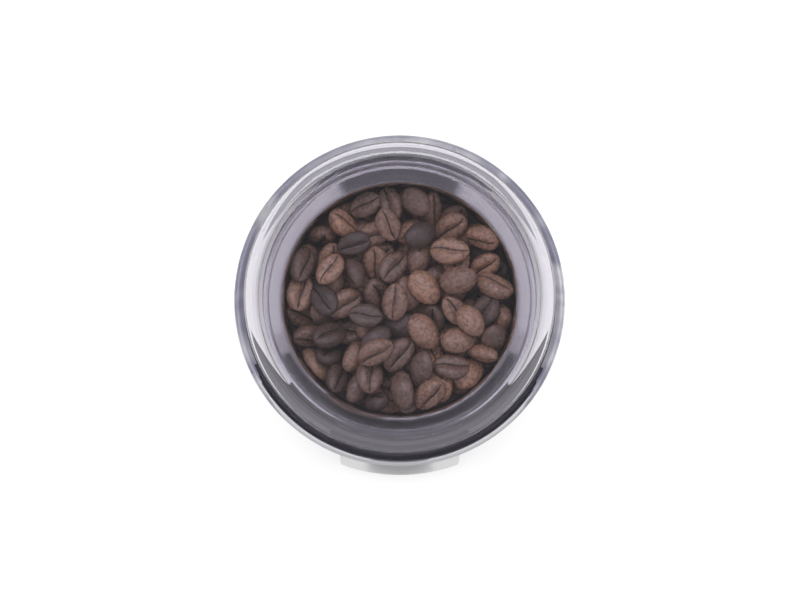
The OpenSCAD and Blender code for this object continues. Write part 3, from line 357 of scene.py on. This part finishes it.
finish_nodes(moulding("bronze", (0.52, 0.36, 0.17), 0.42, grain=1800, depth=0.03, metallic=1.0),
             "upper_bearing", "lower_bearing")
finish_nodes(drawn_metal("brush_brass", (0.74, 0.56, 0.25), 0.3, lines=(60, 800, 800)), "brush_holders")
finish_nodes(moulding("carbon", (0.04, 0.04, 0.042), 0.55, grain=1500, depth=0.04), "carbon_brushes")
spring_steel = drawn_metal("spring_steel", (0.58, 0.58, 0.6), 0.26, lines=(250, 250, 250))
finish_nodes(spring_steel, "brush_springs")

# Turned and spun metal: fine rings round the vertical axis
turned, took, gave = effect(
    "turned_metal",
    {"Base": ("COLOR", (0.7, 0.7, 0.7, 1)), "Dark": ("COLOR", (0.5, 0.5, 0.5, 1)),
     "Rings": ("VALUE", 1200.0), "Roughness": ("VALUE", 0.2), "Spread": ("VALUE", 0.05),
     "Depth": ("VALUE", 0.03)},
    {"Color": "COLOR", "Roughness": "VALUE", "Normal": "VECTOR"})
place = add(turned, "ShaderNodeTexCoord").outputs["Object"]
across = add(turned, "ShaderNodeSeparateXYZ", {"Vector": place})
flat = add(turned, "ShaderNodeCombineXYZ", {"X": across.outputs["X"], "Y": across.outputs["Y"]})
reach = add(turned, "ShaderNodeVectorMath", {0: flat.outputs["Vector"]}, operation="LENGTH")
section = add(turned, "ShaderNodeCombineXYZ", {"X": reach.outputs["Value"], "Y": across.outputs["Z"]})
rings = add(turned, "ShaderNodeTexNoise", {"Vector": section.outputs["Vector"], "Detail": 3.0,
                                           "Scale": took.outputs["Rings"]}).outputs["Fac"]
stain = add(turned, "ShaderNodeTexNoise", {"Vector": place, "Scale": 60.0, "Detail": 4.0}).outputs["Fac"]
both = math_node(turned, "MULTIPLY", math_node(turned, "ADD", rings, stain), 0.5)
turned.links.new(blended(turned, both, took.outputs["Dark"], took.outputs["Base"]), gave.inputs["Color"])
gloss = centred(turned, both, took.outputs["Roughness"], took.outputs["Spread"])
turned.links.new(gloss, gave.inputs["Roughness"])
ringed = add(turned, "ShaderNodeBump", {"Strength": took.outputs["Depth"], "Distance": 0.0004,
                                        "Height": rings})
turned.links.new(ringed.outputs["Normal"], gave.inputs["Normal"])


def turned_metal(name, base, roughness, rings=1200.0, depth=0.03, spread=0.05, **sockets):
    """A metal turned or spun about the vertical axis; rings is the noise's scale."""
    dark = [c * 0.86 for c in base]
    values = {"Base": [*base, 1], "Dark": [*dark, 1], "Rings": rings, "Roughness": roughness,
              "Spread": spread, "Depth": depth}
    return new_finish(name, turned, values, metallic=1.0, **sockets)


shaft_steel = turned_metal("shaft_steel", (0.66, 0.66, 0.68), 0.16, rings=1800)
finish_nodes(shaft_steel, "motor_shaft")
finish_nodes(turned_metal("commutator_copper", (0.72, 0.36, 0.19), 0.24, rings=2200, depth=0.1), "commutator")
finish_nodes(moulding("fan_plastic", (0.68, 0.68, 0.66), 0.45, grain=1200), "cooling_fan")

# ======== drive coupling ========
# Two dog clutches in natural acetal: the lower one sits on the motor's shaft, the upper
# one hangs under the bowl and drops into it when the bowl is set down.
acetal = moulding("coupling_plastic", (0.72, 0.7, 0.63), 0.38, grain=1500, depth=0.015, shade=0.3)
finish_nodes(acetal, "drive_coupler", "driven_coupler")
seal_rubber = moulding("seal_rubber", (0.19, 0.055, 0.045), 0.6, grain=1500, depth=0.04)
finish_nodes(seal_rubber, "shaft_seal", "spindle_seal")

# ======== collar ========
# A smooth black moulding that closes the body from above and holds the bowl's well.
# Four screws from below, through the housing's lugs, hold it down.
collar_gloss = moulding("collar_plastic", (0.022, 0.022, 0.04), 0.22, grain=3000, depth=0.002, wear=0.25,
                        spread=0.05)
finish_nodes(collar_gloss, "collar")
finish_nodes(zinc_plate, "deck_screws")

# ======== lid interlock ========
# The lid's key pushes a rod with a return spring; the rod's foot bends the lever of a
# small switch, so the motor only runs while the lid is held down.
finish_nodes(moulding("rod_plastic", (0.55, 0.13, 0.06), 0.4, grain=1500), "interlock_plunger")
finish_nodes(spring_steel, "plunger_spring", "switch_lever")
finish_nodes(moulding("switch_plastic", (0.03, 0.03, 0.06), 0.5, grain=1500), "microswitch")
finish_nodes(moulding("button_plastic", (0.5, 0.04, 0.03), 0.3, grain=2000, depth=0.01), "switch_button")
finish_nodes(zinc_plate, "switch_screws")

# ======== electrics ========
# A glass-fibre board on edge in the pan's rails, a box-shaped capacitor on it, and a
# thermal fuse on the stator stack, beside a field coil.
board = moulding("board_laminate", (0.03, 0.17, 0.08), 0.4, grain=700, depth=0.05, shade=0.35)
finish_nodes(board, "circuit_board")
finish_nodes(moulding("capacitor_plastic", (0.62, 0.42, 0.07), 0.3, grain=900, depth=0.03), "capacitor")
finish_nodes(moulding("fuse_metal", (0.62, 0.62, 0.62), 0.35, grain=1200, metallic=1.0), "thermal_fuse")

# ======== bowl ========
# A cup of stainless steel, deep drawn and polished, whose wall opens like a trumpet to
# a rolled lip. A black foot ring with keys is clamped on by a flanged hub and a nut.
MM = 0.001
CUP_IN = 100.9  # height of the bowl's floor inside, in mm like all sizes of pieces
CORNER = 6.0
BOWL_R = 34.0
STEEL_T = 0.9
LIP_FOOT = 152.2  # where the wall starts to open
BEND_OUT, BEND_UP = 0.25, 0.55  # how far past the lip's foot its curve is pulled
LIP_R, BEAD_Z, BEAD_R = 40.0, 157.0, 0.9
HUB_R = 7.0


def revolved(name, outline, steps=192, smooth_below=35):
    """A closed outline of (radius, height) in mm, spun round the vertical axis."""
    bm = bmesh.new()
    verts = [bm.verts.new((r * MM, 0, z * MM)) for r, z in outline]
    edges = [bm.edges.new((a, b)) for a, b in zip(verts, verts[1:] + verts[:1])]
    bmesh.ops.spin(bm, geom=verts + edges, cent=(0, 0, 0), axis=(0, 0, 1), angle=2 * math.pi, steps=steps,
                   use_merge=True)
    bmesh.ops.remove_doubles(bm, verts=bm.verts, dist=1e-6)
    bmesh.ops.recalc_face_normals(bm, faces=bm.faces)
    return new_mesh(name, bm, smooth_below)


def arc(centre, radius, start, end, count):
    """Points on an arc of the section, from start to end degrees."""
    return [(centre[0] + radius * math.cos(math.radians(start + (end - start) * i / count)),
             centre[1] + radius * math.sin(math.radians(start + (end - start) * i / count)))
            for i in range(count + 1)]


def trumpet(count, grow):
    """The lip's curve from the wall to the bead, grown outwards by grow."""
    start = Vector((BOWL_R, LIP_FOOT))
    bend = start + Vector((BEND_OUT, BEND_UP))
    end = Vector((LIP_R - BEAD_R, BEAD_Z))
    points = []
    for i in range(count):
        t = i / count
        spot = (1 - t) ** 2 * start + 2 * t * (1 - t) * bend + t * t * end
        along = (2 * (1 - t) * (bend - start) + 2 * t * (end - bend)).normalized()
        points.append(tuple(spot + grow * Vector((along.y, -along.x))))
    return points


corner_at = (BOWL_R - CORNER, CUP_IN + CORNER)
outside = [(HUB_R, CUP_IN - STEEL_T)] + arc(corner_at, CORNER + STEEL_T, -90, 0, 12) + trumpet(14, STEEL_T)
bead = arc((LIP_R, BEAD_Z), BEAD_R, -110, 180, 18)
inside = trumpet(14, 0)[::-1] + arc(corner_at, CORNER, 0, -90, 12) + [(HUB_R, CUP_IN)]
cup = revolved("steel_cup", outside + bead + inside, steps=256)
bowl_steel = turned_metal("bowl_steel", (0.78, 0.77, 0.78), 0.12, rings=1500, depth=0.004, spread=0.03)
cup.data.materials.append(bowl_steel)
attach(cup, "bowl")
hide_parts("bowl_cup")
finish_nodes(bowl_steel, "bowl_cup", "bowl_hub")
finish_nodes(zinc_plate, "hub_nut")
finish_nodes(moulding("bowl_bronze", (0.52, 0.36, 0.17), 0.42, grain=1800, metallic=1.0), "bowl_bush")
finish_nodes(moulding("foot_ring_plastic", (0.026, 0.026, 0.03), 0.36, grain=2400, depth=0.02), "bowl_base")

# ======== blade ========
# A flat strip of hardened stainless steel with one wing bent up and the other down,
# held on its spindle by a washer and a domed nut.
blade_steel = drawn_metal("blade_steel", (0.68, 0.68, 0.7), 0.22, lines=(30, 1100, 1100), depth=0.06)
finish_nodes(blade_steel, "blade", "blade_washer", "blade_nut")
finish_nodes(shaft_steel, "blade_spindle")
finish_nodes(zinc_plate, "spindle_clip")

# ======== beans ========
# Roasted coffee beans, to just under the bowl's lip. They are what the grinder holds.
# Only the upper 20 mm are there: they lie on a flat bed, and the bowl below it is empty.
BEAN_L, BEAN_W, BEAN_H = 11.4, 8.5, 6.0
GROWN = (0.88, 1.08)  # smallest and largest bean against these sizes
BACK_H, FLAT_H = 0.64, 0.36  # shares of a bean's height above and below its widest part
FURROW_DEEP, SNAKE = 0.3, 0.1  # the furrow's depth and swing, as shares of height and half width
PILE = 155
PILE_FLOOR = 128.8
BRIM = 149.5  # beans beside the wall that settle higher than this are taken out again
FLAT_UP = 0.6  # share of the beans with their back up that are turned to show the furrow
ENLARGED = 20.0  # the heap is dropped this much larger, where the solver is steady
DROP_FRAMES = 110
PER_LAYER, LAYER_UP = 10, 0.0085  # beans dropped side by side, and m between their layers
ROAST_DARK, ROAST_PALE = (0.095, 0.062, 0.056, 1), (0.6, 0.335, 0.21, 1)
# The speckles are the beans' own dark mottling; the crease colour is painted shade for the furrow.
SPECKLE, CREASE_SHADE = (0.06, 0.035, 0.027, 1), (0.02, 0.012, 0.01, 1)


def bean_shape():
    """One half-round bean along X, its flat side down with a furrow that snakes a little."""
    bm = bmesh.new()
    furrow = bm.verts.layers.float.new("furrow")
    bmesh.ops.create_uvsphere(bm, u_segments=16, v_segments=9, radius=1.0,
                              matrix=Matrix.Rotation(math.radians(90), 4, "Y"))
    for v in bm.verts:
        x, y, z = v.co
        under = z < 0
        in_furrow = under and abs(y) < 0.02 + 0.12 * (1 - abs(x)) and abs(x) < 0.97
        z = z * (FLAT_H if under else BACK_H)
        if in_furrow:
            z += FURROW_DEEP * (1 - x * x)
            y += SNAKE * math.sin(x * 4.0)
            v[furrow] = 1.0
        elif under:
            z -= 0.05 * (1 - x * x) * (1 - abs(y))
        v.co = (x * BEAN_L / 2, y * BEAN_W / 2 * (1 - 0.08 * x), z * BEAN_H)
    bmesh.ops.scale(bm, vec=(MM, MM, MM), verts=bm.verts)
    mesh = bpy.data.meshes.new("bean_shape")
    bm.to_mesh(mesh)
    bm.free()
    return mesh


def drop_beans():
    """Drops the beans into a round pot with rigid bodies and gives their final places."""
    scene = bpy.context.scene
    chance = random.Random(11)
    bpy.ops.rigidbody.world_add()
    scene.rigidbody_world.substeps_per_frame = 8
    scene.rigidbody_world.solver_iterations = 12
    scene.rigidbody_world.point_cache.frame_end = DROP_FRAMES
    shape = bean_shape()
    shape.transform(Matrix.Scale(ENLARGED, 4))
    pot_r, pot_h = BOWL_R * MM * ENLARGED, 0.4 * ENLARGED
    bm = bmesh.new()
    bmesh.ops.create_cone(bm, cap_ends=True, segments=64, radius1=pot_r, radius2=pot_r, depth=pot_h)
    bmesh.ops.delete(bm, geom=[f for f in bm.faces if f.normal.z > 0.9], context="FACES")
    bmesh.ops.translate(bm, vec=(0, 0, pot_h / 2), verts=bm.verts)
    bmesh.ops.reverse_faces(bm, faces=bm.faces)
    pot = new_mesh("drop_pot", bm)
    dropped = []
    for i in range(PILE):
        bean = bpy.data.objects.new(f"drop_{i}", shape)
        scene.collection.objects.link(bean)
        layer, spot = divmod(i, PER_LAYER)
        turn = spot * 0.628 + layer * 0.37
        far = (0.018 + 0.004 * (spot % 2)) * ENLARGED if spot else 0.0
        high = (0.008 + layer * LAYER_UP) * ENLARGED
        bean.location = (far * math.cos(turn), far * math.sin(turn), high)
        bean.rotation_euler = [chance.uniform(-3.1, 3.1) for _ in range(3)]
        bean.scale = [chance.uniform(*GROWN)] * 3
        dropped.append(bean)
    for thing in [pot] + dropped:
        bpy.context.view_layer.objects.active = thing
        bpy.ops.rigidbody.object_add(type="PASSIVE" if thing == pot else "ACTIVE")
        thing.rigid_body.collision_shape = "MESH" if thing == pot else "CONVEX_HULL"
        thing.rigid_body.friction = 0.45
        thing.rigid_body.restitution = 0.0
        thing.rigid_body.use_margin = True
        thing.rigid_body.collision_margin = 0.002
        if thing != pot:
            thing.rigid_body.linear_damping = 0.1
            thing.rigid_body.angular_damping = 0.3
    for moment in range(1, DROP_FRAMES + 1):
        scene.frame_set(moment)
    graph = bpy.context.evaluated_depsgraph_get()
    places = [bean.evaluated_get(graph).matrix_world.copy() for bean in dropped]
    bpy.ops.rigidbody.world_remove()
    for thing in [pot] + dropped:
        bpy.data.objects.remove(thing)
    scene.frame_set(1)
    shape.transform(Matrix.Scale(1 / ENLARGED, 4))
    settled = []
    for spot in places:
        centre = spot.translation / ENLARGED + Vector((0, 0, PILE_FLOOR * MM))
        if centre.z > BRIM * MM and centre.xy.length > (BOWL_R - BEAN_W) * MM:
            continue
        settled.append((Matrix.Translation(centre), spot.to_quaternion(), spot.to_scale()[0]))
    return shape, settled


shape, settled = drop_beans()
chance = random.Random(5)
bm = bmesh.new()
roast = bm.faces.layers.float.new("roast")
for moved, turned_by, grown in settled:
    before = len(bm.verts), len(bm.faces)
    if (turned_by @ Vector((0, 0, 1))).z > 0.2 and chance.random() < FLAT_UP:
        turned_by = turned_by @ Euler((math.pi, 0, 0)).to_quaternion()
    bm.from_mesh(shape)
    bm.verts.ensure_lookup_table()
    bm.faces.ensure_lookup_table()
    placed = moved @ turned_by.to_matrix().to_4x4() @ Matrix.Scale(grown, 4)
    bmesh.ops.transform(bm, matrix=placed, verts=bm.verts[before[0]:])
    tone = chance.random() ** 1.4
    for face in bm.faces[before[1]:]:
        face[roast] = tone
beans = new_mesh("roasted_beans", bm, 180)
rounding = beans.modifiers.new("rounding", "SUBSURF")
rounding.levels = rounding.render_levels = 1

bean_skin = bpy.data.materials.new("bean_skin")
bean_skin.use_nodes = True
tree = bean_skin.node_tree
shader = tree.nodes["Principled BSDF"]
place = add(tree, "ShaderNodeTexCoord").outputs["Object"]
tone = add(tree, "ShaderNodeAttribute", attribute_name="roast").outputs["Fac"]
groove = add(tree, "ShaderNodeAttribute", attribute_name="furrow").outputs["Fac"]
mottle = add(tree, "ShaderNodeTexNoise", {"Vector": place, "Scale": 900.0, "Detail": 5.0,
                                          "Roughness": 0.65}).outputs["Fac"]
wrinkle = add(tree, "ShaderNodeTexNoise", {"Vector": place, "Scale": 480.0, "Detail": 4.0,
                                           "Distortion": 2.0}).outputs["Fac"]
roasted = blended(tree, tone, ROAST_DARK, ROAST_PALE)
speckle = add(tree, "ShaderNodeMapRange", {"Value": mottle, "From Min": 0.42, "From Max": 0.64,
                                           "To Max": 0.62}).outputs["Result"]
mottled = blended(tree, speckle, roasted, SPECKLE)
# Painted shade: the furrow, and the deepest wrinkles along it, are darkened towards a near-black colour as if
# shade lay in them; the same mask also deepens the bump.
rifts = math_node(tree, "ADD", groove, math_node(tree, "MULTIPLY", wrinkle, 0.5))
crack_and_shade = add(tree, "ShaderNodeMapRange", {"Value": rifts, "From Min": 0.95, "From Max": 1.2}).outputs["Result"]
crease_shaded = blended(tree, math_node(tree, "MULTIPLY", crack_and_shade, 0.85), mottled, CREASE_SHADE)
tree.links.new(crease_shaded, shader.inputs["Base Color"])
shader.inputs["Specular IOR Level"].default_value = 1.0
tree.links.new(centred(tree, mottle, 0.2, 0.06), shader.inputs["Roughness"])
height = math_node(tree, "SUBTRACT", math_node(tree, "ADD", wrinkle, mottle), crack_and_shade)
creased = add(tree, "ShaderNodeBump", {"Strength": 0.85, "Distance": 0.0003, "Height": height})
tree.links.new(creased.outputs["Normal"], shader.inputs["Normal"])
beans.data.materials.append(bean_skin)
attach(beans, "bowl")

bm = bmesh.new()
bmesh.ops.create_circle(bm, cap_ends=True, segments=64, radius=(BOWL_R - 0.2) * MM,
                        matrix=Matrix.Translation((0, 0, PILE_FLOOR * MM)))
bed = new_mesh("bean_bed", bm)
bed.data.materials.append(bean_skin)
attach(bed, "bowl")

# ======== lid ========
# One clear smoked moulding: a flat window set down in a rounded crown, a tall wall, and
# a skirt that slides over the collar. Its hollow key works the interlock. A soft clear
# ring under a ledge closes it on the bowl's lip.
LID_TOP, RECESS_Z, INNER_TOP = 190.9, 190.1, 187.9
CROWN_R, CROWN_AT, RECESS_R = 3.9, 39.7, 39.4
RECESS_DRAFT = 0.12  # how much the recess narrows to its floor
BEVEL_IN, BEVEL_OUT, BEVEL_Z = 38.3, 41.0, 182.42  # the inner bevel under the window's edge
WALL_OUT, WALL_IN = 43.8, 41.6
SKIRT_OUT, SKIRT_IN, SKIRT_Z = 48.9, 47.2, 132.0
FLANGE_Z, FLANGE_UNDER = 146.2, 144.0
FLANGE_ROUND, FILLET = 2.1, 2.2
SEAL_Z, SEAL_H = 158.05, 3.2
LEDGE_Z, LEDGE_R = 165.05, 40.0  # underside and inner edge of the ledge above the seal
RIDGE, RIDGE_Z = 0.4, 157.15  # small ridge that keeps the seal in
KEY_ANGLE, KEY_W, KEY_IN, KEY_T, KEY_ROUND = 148.5, 7.4, 41.1, 1.5, 0.6
PAINTED_LIGHT_R, PAINTED_RIM_R = 45.9, 47.7  # painted light: outside the first the flange's top gets a pale milky finish that stands in for the light on it, and outside the second its rim gets a paler one
CLEAR_FRONT = (199, 339)  # bearings at the front between which only the rim gets this painted light and the flange stays clear
GAP_TAPER = 9  # degrees by which each end of this gap closes in, per mm outside PAINTED_LIGHT_R
PAINTED_LIGHT_SLOT, PAINTED_RIM_SLOT = 1, 2  # material slots of the lid for the flange's and the rim's painted light


def clear(name, tint, roughness, shade, through_share=1.0, cloud_tint=None):
    """Clear plastic with wipe marks, which lamps shine through; a cloud tint, where given, mottles its colour
    by noise.
    """
    made = bpy.data.materials.new(name)
    made.use_nodes = True
    tree = made.node_tree
    shader = tree.nodes["Principled BSDF"]
    shader.inputs["Base Color"].default_value = (*tint, 1)
    shader.inputs["Transmission Weight"].default_value = through_share
    shader.inputs["IOR"].default_value = 1.49
    place = add(tree, "ShaderNodeTexCoord").outputs["Object"]
    wiped = add(tree, "ShaderNodeTexNoise", {"Vector": place, "Scale": 45.0, "Detail": 5.0,
                                             "Distortion": 0.6}).outputs["Fac"]
    tree.links.new(centred(tree, wiped, roughness, roughness * 0.5), shader.inputs["Roughness"])
    if cloud_tint:
        drift = add(tree, "ShaderNodeTexNoise", {"Vector": place, "Scale": 38.0, "Detail": 2.0,
                                                 "Distortion": 1.4}).outputs["Fac"]
        swing = add(tree, "ShaderNodeMapRange", {"Value": drift, "From Min": 0.4, "From Max": 0.62})
        clouded = blended(tree, swing.outputs["Result"], (*cloud_tint, 1), (*tint, 1))
        tree.links.new(clouded, shader.inputs["Base Color"])
    ripple = add(tree, "ShaderNodeBump", {"Strength": 0.02, "Distance": 0.0006, "Height": wiped})
    tree.links.new(ripple.outputs["Normal"], shader.inputs["Normal"])
    through = add(tree, "ShaderNodeBsdfTransparent", {"Color": (*shade, 1)})
    rays = add(tree, "ShaderNodeLightPath")
    either = add(tree, "ShaderNodeMixShader", {0: rays.outputs["Is Shadow Ray"], 1: shader.outputs["BSDF"],
                                               2: through.outputs["BSDF"]})
    tree.links.new(either.outputs["Shader"], tree.nodes["Material Output"].inputs["Surface"])
    return made


smoked = clear("smoked_clear", (0.63, 0.61, 0.66), 0.012, (0.9, 0.89, 0.91))
# Painted light: the two milky finishes below are paler than the smoked lid and stand in for the light that
# falls on the flange and its rim; the flange's one is mottled darker blue by noise.
flange_light_paint = clear("flange_frost_painted_light", (0.82, 0.81, 0.88), 0.3, (0.9, 0.89, 0.91), through_share=0.45,
                cloud_tint=(0.3, 0.3, 0.42))
rim_light_paint = clear("rim_frost_painted_light", (0.92, 0.92, 0.95), 0.35, (0.95, 0.95, 0.96), through_share=0.3)
soft_clear = clear("lid_seal_rubber", (0.86, 0.85, 0.88), 0.16, (0.93, 0.93, 0.94))

skirt = [(SKIRT_IN, SKIRT_Z), (SKIRT_OUT, SKIRT_Z)]
flange = arc((SKIRT_OUT - FLANGE_ROUND, FLANGE_Z - FLANGE_ROUND), FLANGE_ROUND, 0, 90, 10)
foot = arc((WALL_OUT + FILLET, FLANGE_Z + FILLET), FILLET, -90, -180, 10)
crown = arc((CROWN_AT, LID_TOP - CROWN_R), CROWN_R, 0, 90, 16)
window = [(RECESS_R, LID_TOP), (RECESS_R - RECESS_DRAFT, RECESS_Z), (0, RECESS_Z), (0, INNER_TOP)]
bevel = [(BEVEL_IN, INNER_TOP), (BEVEL_OUT, BEVEL_Z)]
ledge = [(LEDGE_R + 1, LEDGE_Z + 3), (LEDGE_R, LEDGE_Z + 2), (LEDGE_R, LEDGE_Z), (WALL_IN, LEDGE_Z)]
ridge = [(WALL_IN, RIDGE_Z), (WALL_IN - RIDGE, RIDGE_Z - RIDGE), (WALL_IN, RIDGE_Z - 2 * RIDGE)]
under = [(WALL_IN, FLANGE_UNDER), (SKIRT_IN, FLANGE_UNDER)]
lid = revolved("smoked_lid", skirt + flange + foot + crown + window + bevel + ledge + ridge + under,
               steps=256, smooth_below=15)
for finish in (smoked, flange_light_paint, rim_light_paint):
    lid.data.materials.append(finish)
# Painted light: the flange's top takes the pale frosted finish at the sides and back, where light falls on
# it, and stays clear at the front; the rim outside takes the paler rim finish all round.
for face in lid.data.polygons:
    spot = face.center / MM
    reach = spot.xy.length
    bearing = math.degrees(math.atan2(spot.y, spot.x)) % 360
    taper = GAP_TAPER * (reach - PAINTED_LIGHT_R)
    in_gap = CLEAR_FRONT[0] + taper < bearing < CLEAR_FRONT[1] - taper
    if reach > PAINTED_LIGHT_R and spot.z > FLANGE_UNDER and not in_gap:
        face.material_index = PAINTED_LIGHT_SLOT
    elif reach > PAINTED_RIM_R and spot.z > FLANGE_UNDER:
        face.material_index = PAINTED_RIM_SLOT
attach(lid, "lid")
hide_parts("lid")

# The key: a box under the flange, open at its top, with rounded upright edges
bm = bmesh.new()
bmesh.ops.create_cube(bm, size=1.0)
key_size = Vector((SKIRT_IN - KEY_IN, KEY_W, FLANGE_UNDER - SKIRT_Z)) * MM
key_middle = Vector(((SKIRT_IN + KEY_IN) / 2, 0, (FLANGE_UNDER + SKIRT_Z) / 2)) * MM
bmesh.ops.scale(bm, vec=key_size, verts=bm.verts)
bmesh.ops.translate(bm, vec=key_middle, verts=bm.verts)
upright = [e for e in bm.edges if abs(e.verts[0].co.z - e.verts[1].co.z) > MM]
bmesh.ops.bevel(bm, geom=upright, offset=KEY_ROUND * MM, segments=3, profile=0.5, affect="EDGES", material=-1)
bmesh.ops.delete(bm, geom=[f for f in bm.faces if f.normal.z > 0.9], context="FACES")
key_turn = Matrix.Rotation(math.radians(KEY_ANGLE), 3, "Z")
bmesh.ops.rotate(bm, cent=(0, 0, 0), matrix=key_turn, verts=bm.verts)
key = new_mesh("lid_key", bm, 40)
walled = key.modifiers.new("walls", "SOLIDIFY")
walled.thickness = KEY_T * MM
walled.offset = -1
key.data.materials.append(smoked)
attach(key, "lid")

seal_top, seal_out = SEAL_Z + SEAL_H, WALL_IN - 0.2
seal = revolved("seal_ring",
                [(LIP_R - 0.6, SEAL_Z), (seal_out, SEAL_Z), (seal_out, seal_top - 0.4),
                 (seal_out - 0.4, seal_top), (LIP_R - 1.9, seal_top), (LIP_R - 2.2, seal_top - 1),
                 (LIP_R - 1.4, SEAL_Z + 1)], steps=256)
seal.data.materials.append(soft_clear)
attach(seal, "seal")
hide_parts("lid_seal")
finish_nodes(smoked, "lid")
finish_nodes(soft_clear, "lid_seal")
